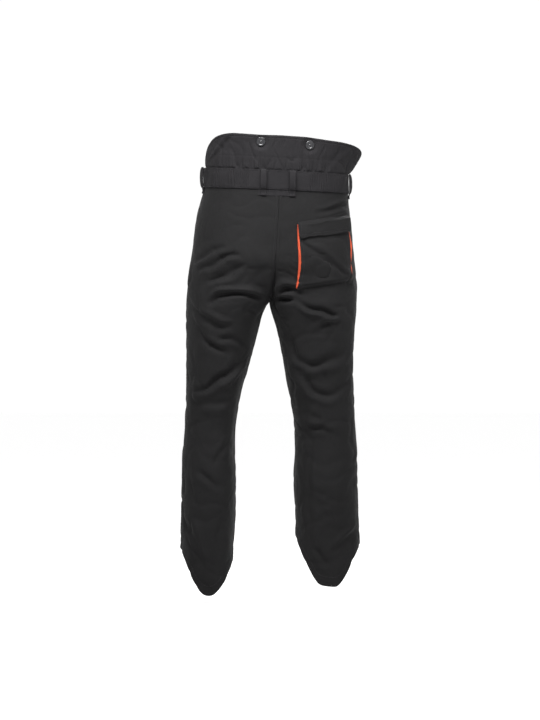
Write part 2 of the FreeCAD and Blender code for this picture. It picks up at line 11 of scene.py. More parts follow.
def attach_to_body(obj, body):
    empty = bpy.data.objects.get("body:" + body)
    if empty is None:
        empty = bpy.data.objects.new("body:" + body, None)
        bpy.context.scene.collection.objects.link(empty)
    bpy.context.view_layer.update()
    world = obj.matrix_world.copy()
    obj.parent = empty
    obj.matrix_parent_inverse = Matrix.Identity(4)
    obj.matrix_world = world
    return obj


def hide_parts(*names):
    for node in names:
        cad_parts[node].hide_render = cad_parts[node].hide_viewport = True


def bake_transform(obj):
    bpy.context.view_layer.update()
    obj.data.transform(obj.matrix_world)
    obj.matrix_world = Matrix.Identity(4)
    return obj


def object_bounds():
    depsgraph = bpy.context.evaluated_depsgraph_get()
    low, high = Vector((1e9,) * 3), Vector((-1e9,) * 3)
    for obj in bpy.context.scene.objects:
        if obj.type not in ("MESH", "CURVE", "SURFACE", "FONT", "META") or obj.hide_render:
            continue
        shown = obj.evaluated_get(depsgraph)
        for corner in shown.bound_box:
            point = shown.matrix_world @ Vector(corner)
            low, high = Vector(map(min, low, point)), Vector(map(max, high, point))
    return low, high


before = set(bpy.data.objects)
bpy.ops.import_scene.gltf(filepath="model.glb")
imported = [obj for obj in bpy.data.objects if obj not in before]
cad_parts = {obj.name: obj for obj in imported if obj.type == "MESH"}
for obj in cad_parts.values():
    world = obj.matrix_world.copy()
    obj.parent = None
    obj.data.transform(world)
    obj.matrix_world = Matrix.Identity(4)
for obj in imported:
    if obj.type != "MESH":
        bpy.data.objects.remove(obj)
CAD_BOX = [[float(c) for c in corner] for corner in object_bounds()]
ROOT = "trousers"
MM = 0.001

# ---- dimensions that follow the CAD part, in metres ------------------------
CROTCH_Z = -0.302
RISE_TOP_Z = -0.192
ROW_DIP = 0.070
WAIST_TILT = 0.05
FLY_SLOPE = 0.08
BAND_HEIGHT = 0.046
SUPERELLIPSE = 2.35
SIDES = {1: "left", -1: "right"}
HEM_POWER = 1.5
HEM_TILT = 0.012            # a hem's outer and inner sides hang at different heights
RISE_EDGES = (0.008, -0.131, 0.139)     # inner x, front y and back y of a leg at the hips
SEAT_SEAM_LEAN = 0.006      # the seat seam wanders by this much to either side
FLY_Y = 0.116
GIRTH = 0.54                # half of the way round the waist, and one leg's girth
LEG_LENGTH = 0.62
PANEL_TOP = -0.040          # the panels end inside the waistband

# ---- dimensions of the worn cloth ------------------------------------------
HEM = {1: (-0.915, 0.100, 0.016), -1: (-0.882, 0.119, 0.016)}       # level, drop at the heel, rise in front
HEM_FLAT = {1: 0.0985, -1: 0.107}       # the points at the heels are cut off a little blunt
BLUNTNESS = 0.004
COLUMNS = 145               # samples round each leg
ROW_STEP = 0.0042           # distance between samples down the cloth
CRUMPLE = 2.6 * MM          # depth of the small sharp wrinkles
CREASE_GAIN = 1.25
WANDER = 0.0045             # how far a crease strays from its line


# ---- small numeric helpers -------------------------------------------------
def lerp(a, b, t):
    return a + (b - a) * t


def smooth(t):
    t = np.clip(t, 0.0, 1.0)
    return t * t * (3.0 - 2.0 * t)


def signed_power(value, power):
    return np.sign(value) * np.abs(value) ** power


def unit(vectors):
    length = np.linalg.norm(vectors, axis=-1, keepdims=True)
    return vectors / np.maximum(length, 1e-12)


def bump_at(distance, centre, width):
    return np.exp(-(((distance - centre) / width) ** 2))


def rolled(edge, radius):
    """0 at an edge, rising like a quarter circle to 1 at a radius from it."""
    return np.sqrt(np.clip(1 - (1 - np.minimum(edge / radius, 1)) ** 2, 0, 1))


def grids(*values):
    """The same values as float arrays of one shape."""
    return np.broadcast_arrays(*[np.asarray(value, float) for value in values])


# ---- the garment's shape, measured on the CAD panels -----------------------
def outline_at(names, z):
    """The x and y extremes of some CAD nodes where a level plane cuts them."""
    found = []
    for name in names:
        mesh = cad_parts[name].data
        points = np.empty(len(mesh.vertices) * 3)
        mesh.vertices.foreach_get("co", points)
        points = points.reshape(-1, 3)
        edges = np.empty(len(mesh.edges) * 2, dtype=int)
        mesh.edges.foreach_get("vertices", edges)
        a, b = points[edges[0::2]], points[edges[1::2]]
        cut = (a[:, 2] - z) * (b[:, 2] - z) < 0
        a, b = a[cut], b[cut]
        found.append(a + (b - a) * ((z - a[:, 2]) / (b[:, 2] - a[:, 2]))[:, None])
    found = np.concatenate(found)
    return found[:, 0].min(), found[:, 0].max(), found[:, 1].min(), found[:, 1].max()


LEG_HEIGHTS = np.linspace(-0.86, -0.31, 45)
HIP_HEIGHTS = np.linspace(-0.30, -0.052, 25)


def measure_leg(side):
    """Rows of inner x, outer x, front y and back y, from low to high."""
    nodes = ["back_panel_" + SIDES[side], "front_panel_" + SIDES[side]]
    rows = []
    for z in LEG_HEIGHTS:
        x_low, x_high, y_low, y_high = outline_at(nodes, z)
        inner, outer = (x_low, x_high) if side > 0 else (x_high, x_low)
        rows.append((inner, outer, y_low, y_high))
    return np.array(rows)


def measure_hips():
    """Rows of left x, right x, front y and back y, from low to high."""
    panels = [kind + "_panel_" + name for kind in ("back", "front") for name in SIDES.values()]
    rows = []
    for z in HIP_HEIGHTS:
        x_low, x_high, y_low, y_high = outline_at(panels, z)
        rows.append((x_high, x_low, y_low, y_high))
    return np.array(rows)


LEGS = {side: measure_leg(side) for side in SIDES}
HIPS = measure_hips()


def leg_ring(side, u, z):
    """A leg's outline: u = 0 inseam, 0.25 back, 0.5 outseam, 0.75 front."""
    rows = LEGS[side]
    inner, outer, front, back = [np.interp(z, LEG_HEIGHTS, rows[:, k]) for k in range(4)]
    above = np.clip((z - LEG_HEIGHTS[-1]) / (RISE_TOP_Z - LEG_HEIGHTS[-1]), 0.0, 1.0)
    inner = lerp(inner, RISE_EDGES[0], above)
    front = lerp(front, RISE_EDGES[1], above)
    back = lerp(back, RISE_EDGES[2], above)
    power = 2.0 / SUPERELLIPSE
    across = signed_power(np.cos(2 * np.pi * u), power)
    along = signed_power(np.sin(2 * np.pi * u), power)
    x = (inner + outer) / 2 + (inner - outer) / 2 * across
    y = (front + back) / 2 + (back - front) / 2 * along
    return x, y


def hip_share(u):
    """How far round the hips a column lies; columns are closer near the two centre seams."""
    near = np.minimum(u, 1 - u)
    share = 0.36 * near + 1.28 * near * near
    return np.where(u > 0.5, 1.0 - share, share)


def pelvis_arc(side, u, z):
    """Half of the hips' outline: u = 0 centre back, 0.5 side, 1 centre front."""
    left, right, front, back = [np.interp(z, HIP_HEIGHTS, HIPS[:, k]) for k in range(4)]
    reach = left if side > 0 else right
    front = np.where(z > HIP_HEIGHTS[-1], -FLY_Y + FLY_SLOPE * z, front)
    power = 2.0 / SUPERELLIPSE
    angle = np.pi * hip_share(u)
    across = np.cos(angle)
    seam_x = lerp(-SEAT_SEAM_LEAN, SEAT_SEAM_LEAN, smooth(z / CROTCH_Z))
    x = seam_x * (across + 1) / 2 + (reach - seam_x / 2) * signed_power(np.sin(angle), power)
    y = np.where(across > 0, back, -front) * signed_power(across, power)
    return x, y


def hem_z(side, u):
    """Height of the hem, which falls to a blunt point at the heel."""
    level, drop, rise = HEM[side]
    turn = np.cos(2 * np.pi * u)
    across = np.abs(turn)
    arch = 1.0 - across**HEM_POWER
    tilt = HEM_TILT * side * np.where(turn < 0, 1, -1) * across
    fall = drop * arch
    blunt = HEM_FLAT[side] - BLUNTNESS * np.log1p(np.exp((HEM_FLAT[side] - fall) / BLUNTNESS))
    return level + tilt + np.where(u < 0.5, -blunt, rise * arch)


def crotch_row_z(u):
    return CROTCH_Z - ROW_DIP * (1 - np.exp(-np.minimum(u, 1 - u) / 0.06))


def rise_row(u, v):
    """Height of a row between crotch and hips, and how far it has passed from leg to hips."""
    rise = np.clip(v, 0, 1)
    angle = rise * np.pi / 2
    seam = np.exp(-((np.minimum(u, 1 - u) / 0.09) ** 2))
    height = lerp(crotch_row_z(u), RISE_TOP_Z, lerp(rise, 1 - np.cos(angle), seam))
    return height, lerp(smooth(rise), np.sin(angle), seam)


def surface(side, u, v):
    """Points of the outside of the cloth: v = -1 hem, 0 crotch, 1 hips, 2 waistband top."""
    u, v = grids(u, v)
    low_z = lerp(crotch_row_z(u), hem_z(side, u), -np.minimum(v, 0))
    low_x, low_y = leg_ring(side, u, low_z)
    mid_z, share = rise_row(u, v)
    ring_x, ring_y = leg_ring(side, u, mid_z)
    hip_x, hip_y = pelvis_arc(side, u, mid_z)
    mid_x, mid_y = lerp(ring_x, hip_x, share), lerp(ring_y, hip_y, share)
    top_z = lerp(RISE_TOP_Z, 0.0, np.maximum(v - 1, 0))
    top_x, top_y = pelvis_arc(side, u, top_z)
    fade = np.where(u < 0.5, 1.0, np.sin(np.pi * u) ** 2)
    top_z = top_z + WAIST_TILT * top_x * fade * smooth(v - 1)
    low = np.stack([low_x, low_y, low_z], -1)
    mid = np.stack([mid_x, mid_y, mid_z], -1)
    top = np.stack([top_x, top_y, top_z], -1)
    return np.where((v <= 0)[..., None], low, np.where((v < 1)[..., None], mid, top))


# ---- creases of the worn cloth ---------------------------------------------
# Each crease: points (x, z) on the back, depth, half width, and the side that bulges.
# The bulge is +1 below the crease and -1 above it.  Millimetres.
BACK_CREASES = [
    ([(89, -194), (140, -214), (194, -240)], 5.0, 9, 1),
    ([(122, -178), (160, -195), (204, -214)], 3.5, 8, 1),
    ([(70, -222), (125, -246), (186, -272)], 4.5, 10, 1),
    ([(30, -306), (66, -294), (101, -290), (134, -300), (166, -316)], 7.5, 9, -1),
    ([(199, -329), (154, -362), (104, -378)], 5.0, 9, -1),
    ([(192, -364), (164, -408), (108, -442)], 4.5, 10, -1),
    ([(142, -396), (106, -399), (72, -416)], 4.0, 8, 1),
    ([(206, -529), (163, -511), (127, -487), (68, -440)], 8.0, 10, 1),
    ([(196, -560), (150, -556), (108, -540)], 3.0, 12, 1),
    ([(199, -706), (163, -737), (130, -754)], 4.0, 10, 1),
    ([(112, -640), (132, -668), (150, -706)], 2.5, 10, -1),
    ([(218, -811), (190, -857), (166, -950)], -4.0, 11, 1),
    ([(120, -820), (136, -870), (140, -930)], 3.0, 12, 1),
    ([(10, -303), (-16, -303), (-40, -307)], 11.5, 9, -1),
    ([(4, -292), (-14, -282), (-38, -284), (-70, -298)], 8.5, 8, -1),
    ([(-96, -98), (-140, -90), (-172, -78)], 3.5, 6, -1),
    ([(-36, -304), (-80, -322), (-127, -341), (-152, -341)], 6.0, 9, 1),
    ([(-94, -386), (-114, -366), (-132, -361), (-160, -366)], 4.5, 8, -1),
    ([(-10, -356), (-34, -430), (-64, -456), (-94, -462), (-142, -442), (-177, -404)], 6.5, 11, 1),
    ([(-34, -451), (-66, -500), (-106, -535), (-146, -520), (-180, -482)], 5.0, 11, 1),
    ([(-62, -571), (-84, -588), (-108, -598)], 3.5, 9, 1),
    ([(-72, -624), (-103, -612), (-136, -624)], 3.5, 9, -1),
    ([(-89, -763), (-106, -766), (-124, -762)], 2.5, 7, 1),
    ([(-96, -792), (-112, -795), (-128, -791)], 2.5, 7, 1),
    ([(-70, -590), (-80, -670), (-74, -760), (-80, -850), (-76, -930)], 2.0, 8, 1),
    ([(-88, -900), (-104, -920), (-124, -940)], 4.5, 9, 1),
    ([(-110, -896), (-150, -876), (-178, -856), (-191, -834)], -4.0, 9, 1),
    ([(-52, -690), (-60, -716), (-66, -750)], 2.5, 9, 1),
]
FRONT_CREASES = [
    ([(14, -262), (60, -250), (118, -262)], 5.0, 10, 1),
    ([(-14, -262), (-60, -252), (-112, -266)], 5.0, 10, 1),
    ([(34, -318), (84, -330), (150, -318)], 4.0, 11, 1),
    ([(-8, -318), (-56, -334), (-120, -316)], 4.0, 11, 1),
    ([(70, -430), (120, -446), (190, -430)], 3.5, 13, 1),
    ([(-20, -436), (-70, -452), (-150, -430)], 3.5, 13, 1),
    ([(104, -560), (150, -572), (206, -556)], 5.0, 12, 1),
    ([(-54, -564), (-100, -576), (-168, -560)], 5.0, 12, 1),
    ([(106, -612), (156, -626), (208, -608)], 4.0, 12, 1),
    ([(-58, -616), (-108, -630), (-172, -612)], 4.0, 12, 1),
    ([(118, -742), (160, -752), (212, -736)], 3.0, 13, 1),
    ([(-62, -744), (-112, -756), (-176, -740)], 3.0, 13, 1),
    ([(120, -850), (160, -862), (216, -846)], 4.0, 11, 1),
    ([(-60, -840), (-112, -852), (-180, -836)], 4.0, 11, 1),
]


def smooth_line(points, count=40):
    """A smooth line through a few points given in millimetres."""
    points = np.array(points, float) * MM
    padded = np.vstack([2 * points[0] - points[1], points, 2 * points[-1] - points[-2]])
    line = []
    for k in range(len(points) - 1):
        p0, p1, p2, p3 = padded[k : k + 4]
        t = np.linspace(0, 1, count)[:, None]
        square = (2 * p0 - 5 * p1 + 4 * p2 - p3) * t**2
        cube = (3 * p1 - p0 - 3 * p2 + p3) * t**3
        line.append(0.5 * (2 * p1 + (p2 - p0) * t + square + cube))
    return np.concatenate(line)


def crease_depth(points, facing, creases):
    """How far each point moves out along its normal; facing is 1 where the creases apply."""
    wander = wandering(points, 0.075, (31, 32))
    flat = (points[..., [0, 2]] + WANDER * wander).reshape(-1, 2)
    strength = 0.95 + 0.30 * ripple(points, 0.085, 33).reshape(-1)
    depth = np.zeros(len(flat))
    for route, amount, width, side in creases:
        line = smooth_line(route)
        reach = 5 * width * MM
        low, high = line.min(0) - reach, line.max(0) + reach
        near = np.nonzero(((flat > low) & (flat < high)).all(1))[0]
        if not len(near):
            continue
        gap = flat[near][:, None, :] - line[None, :, :]
        nearest = np.linalg.norm(gap, axis=2).argmin(1)
        tangent = unit(np.gradient(line, axis=0))[nearest]
        offset = gap[np.arange(len(near)), nearest]
        left_of = tangent[:, 0] * offset[:, 1] - tangent[:, 1] * offset[:, 0]
        across = left_of * np.where(tangent[:, 0] > 0, -1, 1) * side
        pace = np.linalg.norm(np.diff(line, axis=0), axis=1).mean()
        along = (nearest + (tangent * offset).sum(1) / pace) / (len(line) - 1)
        fade = np.sin(np.pi * np.clip(along, 0.0, 1.0)) ** 0.7
        w = width * MM
        groove = max(0.70 * w, 6.8 * MM)
        shape = -1.1 * bump_at(across, 0, groove) + 0.80 * bump_at(across, 0.6 * w + groove, 0.95 * w)
        shape += 0.25 * bump_at(across, -1.6 * w, 1.2 * w)
        depth[near] += CREASE_GAIN * amount * MM * shape * fade * strength[near]
    return depth.reshape(points.shape[:-1]) * smooth(facing * 1.6 + 0.1)


def ripple(points, size, seed):
    """A soft, repeatable wandering over space, between about -1 and 1."""
    rng = np.random.default_rng(seed)
    total = np.zeros(points.shape[:-1])
    for _ in range(9):
        direction = unit(rng.normal(size=3))
        scale = size * rng.uniform(0.7, 1.6)
        total += np.sin(points @ direction * 2 * np.pi / scale + rng.uniform(0, 6.3))
    return total / 3.6


# ---- the cloth as two grids of points --------------------------------------
def row_values():
    """Rows of the grid, about evenly spaced down the leg, the rise and the hips."""
    leg, rise, top = [int(length / ROW_STEP) for length in (0.60, 0.19, 0.192)]
    below = [np.linspace(-1, 0, leg, endpoint=False), np.linspace(0, 1, rise, endpoint=False)]
    return np.concatenate([*below, np.linspace(1, 2, top)])


U = np.linspace(0, 1, COLUMNS)
V = row_values()


def wandering(points, size, seeds):
    """A soft shift of points in three directions."""
    return np.stack([ripple(points, size, seed) for seed in seeds], -1)


def grid_normals(points, side):
    """Outward directions of a grid of points."""
    along = np.gradient(points, axis=0)
    up = np.gradient(points, axis=1)
    return unit(np.cross(up, along) * side)


def worn_cloth(side):
    """The grid of one half of the garment, with its creases."""
    points = surface(side, U[:, None], V[None, :])
    normals = grid_normals(surface(side, np.clip(U, 0.003, 0.997)[:, None], V[None, :]), side)
    facing = normals[..., 1]
    depth = crease_depth(points, facing, BACK_CREASES)
    depth += crease_depth(points, -facing, FRONT_CREASES)
    leg_share = smooth((-0.12 - points[..., 2]) / 0.1)
    depth += ripple(points, 0.16, 3) * 2.2 * MM * leg_share
    depth += ripple(points * np.array([1, 1, 0.55]), 0.07, 5) * 0.9 * MM * leg_share
    warped = points + 0.018 * wandering(points, 0.11, (11, 12, 13))
    sharp = np.exp(-((ripple(warped * np.array([0.8, 0.8, 1.25]), 0.085, 17) / 0.30) ** 2))
    small = np.exp(-((ripple(warped, 0.048, 19) / 0.44) ** 2))
    patches = smooth(0.5 + 0.8 * ripple(points, 0.20, 23))
    crumple = CRUMPLE * (sharp * patches + 0.45 * small * (1.2 - patches))
    depth -= crumple * lerp(0.35, 1.0, leg_share)
    seam = smooth(np.minimum(U, 1 - U) / 0.03)[:, None]
    above = smooth(V / 0.12)[None, :]
    depth *= lerp(1.0, seam, above)
    return points + normals * depth[..., None]


CLOTH = {side: worn_cloth(side) for side in SIDES}


def weights(t):
    """Weights of the four samples round a place, for a smooth curve through them."""
    return [
        -0.5 * t + t**2 - 0.5 * t**3,
        1 - 2.5 * t**2 + 1.5 * t**3,
        0.5 * t + 2 * t**2 - 1.5 * t**3,
        -0.5 * t**2 + 0.5 * t**3,
    ]


def cloth_point(side, u, v):
    """Points of the worn cloth at any u and v."""
    u, v = grids(u, v)
    grid = CLOTH[side]
    i = np.clip(u, 0, 1) * (COLUMNS - 1)
    j = np.interp(v, V, np.arange(len(V)))
    i0 = np.minimum(i.astype(int), COLUMNS - 2)
    j0 = np.minimum(j.astype(int), len(V) - 2)
    wi, wj = weights(i - i0), weights(j - j0)
    total = np.zeros(u.shape + (3,))
    for a in range(4):
        for b in range(4):
            ia, jb = i0 + a - 1, j0 + b - 1
            ic, jc = np.clip(ia, 0, COLUMNS - 1), np.clip(jb, 0, len(V) - 1)
            nearest = grid[ic, jc]
            before = 2 * nearest - grid[np.clip(2 * ic - ia, 0, COLUMNS - 1), jc]
            below = 2 * nearest - grid[ic, np.clip(2 * jc - jb, 0, len(V) - 1)]
            sample = np.where((ia != ic)[..., None], before, nearest)
            sample = np.where((jb != jc)[..., None], below, sample)
            total += sample * (wi[a] * wj[b])[..., None]
    return total


def cloth_normal(side, u, v):
    """Outward directions of the worn cloth."""
    step = 0.004
    u = np.asarray(u, float)
    v = np.asarray(v, float)
    inside = np.clip(u, step, 1 - step)
    along = cloth_point(side, inside + step, v) - cloth_point(side, inside - step, v)
    up = cloth_point(side, inside, v + step) - cloth_point(side, inside, v - step)
    return unit(np.cross(up, along) * side)


def skin(side, u, v, offset):
    """Points at a distance out from the worn cloth."""
    offset = np.asarray(offset, float)[..., None]
    return cloth_point(side, u, v) + cloth_normal(side, u, v) * offset


def around(a, v, offset):
    """Points round the waist: a = 0 centre back, above 0 to the left, below 0 to the right."""
    a, v, offset = grids(a, v, offset)
    left = skin(1, np.abs(a), v, offset)
    right = skin(-1, np.abs(a), v, offset)
    return np.where((a >= 0)[..., None], left, right)


def v_of_height(z):
    """The row above the hips that lies at a height before the waist's tilt."""
    return 1.0 + (z - RISE_TOP_Z) / -RISE_TOP_Z


def row_through(u, z):
    """The row at a height anywhere above the crotch."""
    u, z = grids(u, z)
    low, high = np.zeros(u.shape), np.ones(u.shape)
    for _ in range(26):
        middle = (low + high) / 2
        under = rise_row(u, middle)[0] < z
        low = np.where(under, middle, low)
        high = np.where(under, high, middle)
    return np.where(z >= RISE_TOP_Z, v_of_height(z), (low + high) / 2)


def column_at(x, z, front):
    """Where round the waist the cloth reaches a given x; above 0 on the wearer's left."""
    x = np.asarray(x, float)
    side = np.where(x >= 0, 1, -1)
    low = np.full(x.shape, 0.5 if front else 0.0)
    high = low + 0.5
    for _ in range(26):
        middle = (low + high) / 2
        left = surface(1, middle, v_of_height(z))[..., 0]
        right = -surface(-1, middle, v_of_height(z))[..., 0]
        farther = (np.where(side > 0, left, right) > np.abs(x)) == front
        low = np.where(farther, middle, low)
        high = np.where(farther, high, middle)
    return side * (low + high) / 2


# ---- building cloth pieces -------------------------------------------------
def arc_lengths(points, axis):
    steps = np.linalg.norm(np.diff(points, axis=axis), axis=-1)
    zero = np.zeros_like(np.take(steps, [0], axis=axis))
    return np.concatenate([zero, np.cumsum(steps, axis=axis)], axis=axis)


def slab(name, outer, inner, keep=None, creased=True):
    """A closed cloth piece between two grids of points; keep masks cells to leave out."""
    nu, nv = outer.shape[:2]
    if keep is None:
        keep = np.ones((nu - 1, nv - 1), bool)
    index = np.arange(nu * nv).reshape(nu, nv)
    corners = [index[:-1, :-1], index[1:, :-1], index[1:, 1:], index[:-1, 1:]]
    cells = np.stack([c[keep] for c in corners], -1)
    count = nu * nv
    frame_cells = np.zeros((nu + 1, nv + 1), bool)
    frame_cells[1:-1, 1:-1] = keep
    rims = []
    for axis in (0, 1):
        before = frame_cells[:-1, 1:-1] if axis == 0 else frame_cells[1:-1, :-1]
        after = frame_cells[1:, 1:-1] if axis == 0 else frame_cells[1:-1, 1:]
        edge = before != after
        first = (index[:, :-1] if axis == 0 else index[:-1, :])[edge]
        second = (index[:, 1:] if axis == 0 else index[1:, :])[edge]
        rims.append(np.stack([first, second], -1))
    rims = np.concatenate(rims)
    rim_faces = np.stack([rims[:, 0], rims[:, 1], rims[:, 1] + count, rims[:, 0] + count], -1)
    faces = np.concatenate([cells, cells[:, ::-1] + count, rim_faces])
    points = np.concatenate([outer.reshape(-1, 3), inner.reshape(-1, 3)])
    used = np.zeros(len(points), bool)
    used[faces] = True
    renumber = np.cumsum(used) - 1
    uv = np.stack([arc_lengths(outer, 0), arc_lengths(outer, 1)], -1).reshape(-1, 2)
    thing = new_piece(name, points[used], renumber[faces].tolist(), np.concatenate([uv, uv])[used])
    if creased:
        mark_sharp(thing.data, renumber[rims], int(used[:count].sum()))
    return thing


def linked(thing):
    bpy.context.scene.collection.objects.link(thing)
    return thing


def new_piece(name, points, faces, uv):
    """A smooth mesh, with a texture map in metres that carries the cloth's grain."""
    mesh = bpy.data.meshes.new(name)
    mesh.from_pydata(points.tolist(), [], faces)
    layer = mesh.uv_layers.new(name="cloth")
    loops = np.empty(len(mesh.loops), dtype=int)
    mesh.loops.foreach_get("vertex_index", loops)
    layer.data.foreach_set("uv", uv[loops].ravel())
    mesh.polygons.foreach_set("use_smooth", [True] * len(mesh.polygons))
    work = bmesh.new()
    work.from_mesh(mesh)
    bmesh.ops.recalc_face_normals(work, faces=work.faces)
    work.to_mesh(mesh)
    work.free()
    mesh.update()
    return linked(bpy.data.objects.new(name, mesh))


def mark_sharp(mesh, rims, shift):
    """The edges of the rim stay crisp, so that the flat of the cloth shades evenly."""
    wanted = {tuple(sorted(pair)) for pair in rims.tolist()}
    wanted |= {(a + shift, b + shift) for a, b in wanted}
    for edge in mesh.edges:
        if tuple(sorted(edge.vertices)) in wanted:
            edge.use_edge_sharp = True


# Hinged bodies whose cloth keeps its place in the world, each with the two ends of a bend that nothing
# uses.
BENDS = {
    "fly_overlap": ((0.0395, -0.117, -0.05), (0.0310, -0.1175, -0.05)),
    "pocket_flap": ((-0.1157, 0.1098, -0.1120), (-0.1157, 0.1098, -0.1190)),
}


def attach(thing, body):
    """Cloth on a hinged body keeps its place in the world, with no parent; everything else rides along with
    its body.
    """
    if body in BENDS:
        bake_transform(thing)
    else:
        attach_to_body(thing, body)


def dress(thing, material, *nodes, body=ROOT):
    """Give a piece its material and slot and its body, unless that body is hinged, and hide the CAD nodes
    that it stands for.
    """
    thing.data.materials.clear()
    thing.data.materials.append(material)
    attach(thing, body)
    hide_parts(*nodes)


def band(profile, distance):
    """Height of a seam's cross-section, listed as (distance, height) in millimetres."""
    distances, heights = zip(*profile)
    return np.interp(distance / MM, distances, heights) * MM


PLAIN_EDGE = [(0, -0.6), (1.2, 0.0), (3, 0.0)]
TUCKED_EDGE = [(0, -2.2), (5.6, -2.2), (6.6, -0.9), (8.2, 0.0), (10, 0.0)]
FELLED_EDGE = [
    (0, -0.5), (1.0, 0.55), (1.8, 0.1), (2.8, 0.6), (5.9, 0.65), (6.9, 0.1), (7.7, 0.6),
    (8.4, -0.45), (10, 0.0),
]
HEM_EDGE = [(0, -0.3), (0.8, 0.7), (22.5, 0.6), (24.0, 0.1), (25.5, 0.0), (30, 0.0)]


def spaced(length, fine, step):
    """Places along a length, at the fine distances from both ends and evenly between."""
    fine = np.array(fine) * MM
    middle = np.linspace(fine[-1], length - fine[-1], max(2, int((length - 2 * fine[-1]) / step)))
    return np.concatenate([fine[:-1], middle, (length - fine[:-1])[::-1]]) / length


SEAM_PLACES = [0, 0.45, 0.9, 1.8, 2.8, 4.7, 6.6, 7.6, 8.4, 9.2, 11]
HEM_PLACES = [0, 0.4, 0.8, 2.5, 5.5, 9, 13, 17, 20.5, 22.5, 24, 25.5, 28]
CLOTH_THICKNESS = 1.5 * MM


def panel_grid(side, reach, low_edge, high_edge):
    """Columns, rows and seam heights of one long panel, from the hem to the waistband."""
    girth = GIRTH * abs(reach[1] - reach[0])
    columns = lerp(*reach, spaced(girth, SEAM_PLACES, 0.0034))
    hem_rows = -1 + np.array(HEM_PLACES) * MM / LEG_LENGTH
    rows = np.concatenate([hem_rows[:-1], np.linspace(hem_rows[-1], v_of_height(PANEL_TOP), 330)])
    points = cloth_point(side, columns[:, None], rows[None, :])
    across = arc_lengths(points, 0)
    height = band(low_edge, across) + band(high_edge, across[-1:, :] - across)
    return columns, rows, height + band(HEM_EDGE, arc_lengths(points, 1))


def cloth_slab(name, side, columns, rows, outer, inner, keep=None):
    """A cloth piece between two distances from the worn cloth."""
    grid = cloth_point(side, columns[:, None], rows[None, :])
    normals = cloth_normal(side, columns[:, None], rows[None, :])
    outer = np.broadcast_to(outer, grid.shape[:2])[..., None]
    inner = np.broadcast_to(inner, grid.shape[:2])[..., None]
    return slab(name, grid + normals * outer, grid + normals * inner, keep)


def outside_fly(side, columns, rows, half_width, foot):
    """Which cells of a front piece are cloth: the fly's slot is left out."""
    across = (columns[1:, None] + columns[:-1, None]) / 2
    along = (rows[None, 1:] + rows[None, :-1]) / 2
    middle = cloth_point(side, across, along)
    return (np.abs(middle[..., 0]) > half_width) | (middle[..., 2] < foot) | (middle[..., 1] > 0)


def build_panels():
    for side, name in SIDES.items():
        columns, rows, height = panel_grid(side, (0.0005, 0.4995), FELLED_EDGE, FELLED_EDGE)
        back = cloth_slab("seat_and_leg_back_" + name, side, columns, rows, height, -CLOTH_THICKNESS)
        dress(back, SHELL, "back_panel_" + name)
        columns, rows, height = panel_grid(side, (0.488, 0.9995), TUCKED_EDGE, PLAIN_EDGE)
        keep = outside_fly(side, columns, rows, 0.0062, -0.191)
        inner = np.minimum(-CLOTH_THICKNESS, height - 0.7 * MM)
        front = cloth_slab("leg_front_" + name, side, columns, rows, height, inner, keep)
        dress(front, SHELL, "front_panel_" + name)


# ---- sewing thread ---------------------------------------------------------
STITCH = 2.7 * MM
STITCH_GAP = 0.9 * MM
TACK_STEP = 0.55 * MM
TACK_WIDTH = 2.6 * MM
THREAD_RADIUS = 0.30 * MM
THREAD_SIDES = 6
# Rings of one stitch: share of its length, size and lift.
THREAD_RINGS = [(0.06, 0.55, -0.5), (0.25, 1.0, 0.5), (0.75, 1.0, 0.5), (0.94, 0.55, -0.5)]
SEWN = {}       # stitches for each body: three points along each, and its outward direction


def along_line(line):
    """How far along a line each of its points lies."""
    return np.concatenate([[0], np.cumsum(np.linalg.norm(np.diff(line, axis=0), axis=1))])


def place_on(line, way, place):
    return [np.interp(place, way, line[:, k]) for k in range(3)]


def sew(line, above, group=ROOT, length=STITCH, gap=STITCH_GAP):
    """Lay stitches along a line of points; above is the same line, farther from the cloth."""
    way = along_line(line)
    for start in np.arange(gap, way[-1] - length, length + gap):
        spots = (start, start + length / 2, start + length)
        ends = np.array([place_on(line, way, spot) for spot in spots])
        k = way.searchsorted(spots[1]) - 1
        SEWN.setdefault(group, []).append((ends, unit(above[k] - line[k])))


def sew_on(point_at, first, second, level, rise=MM, **how):
    """Lay stitches at a level above one of the cloth's surfaces."""
    sew(point_at(first, second, level), point_at(first, second, level + rise), **how)


def tack(line, above):
    """A bar of close stitches, laid across the line."""
    way = along_line(line)
    for place in np.arange(0, way[-1], TACK_STEP):
        middle = np.array(place_on(line, way, place))
        k = max(min(way.searchsorted(place), len(line) - 1) - 1, 0)
        up = unit(above[k] - line[k])
        across = unit(np.cross(line[-1] - line[0], up)) * TACK_WIDTH / 2
        ends = np.array([middle - across, middle, middle + across])
        SEWN.setdefault(ROOT, []).append((ends, up))


def stitch_rings(ends, across, up):
    """Rings of points round each stitch's thread, from end to end, and its two tips."""
    angles = np.linspace(0, 2 * np.pi, THREAD_SIDES, endpoint=False)
    rings = []
    for share, size, lift in THREAD_RINGS:
        half = 0 if share < 0.5 else 1
        bent = ends[:, half] + (ends[:, half + 1] - ends[:, half]) * (2 * share - half)
        centre = bent + up * lift * THREAD_RADIUS
        for angle in angles:
            spoke = across * math.cos(angle) + up * math.sin(angle)
            rings.append(centre + spoke * size * THREAD_RADIUS)
    tips = np.stack([ends[:, 0] - up * THREAD_RADIUS, ends[:, 2] - up * THREAD_RADIUS], 1)
    return np.concatenate([np.stack(rings, 1), tips], 1)


def stitch_faces():
    """The quads and the end triangles of one stitch."""
    n = THREAD_SIDES
    last = n * (len(THREAD_RINGS) - 1)
    quads, caps = [], []
    for ring in range(len(THREAD_RINGS) - 1):
        for k in range(n):
            turn = (k + 1) % n
            quads.append((ring * n + k, ring * n + turn, ring * n + n + turn, ring * n + n + k))
    caps += [(last + n, (k + 1) % n, k) for k in range(n)]
    caps += [(last + n + 1, last + k, last + (k + 1) % n) for k in range(n)]
    return np.array(quads), np.array(caps)


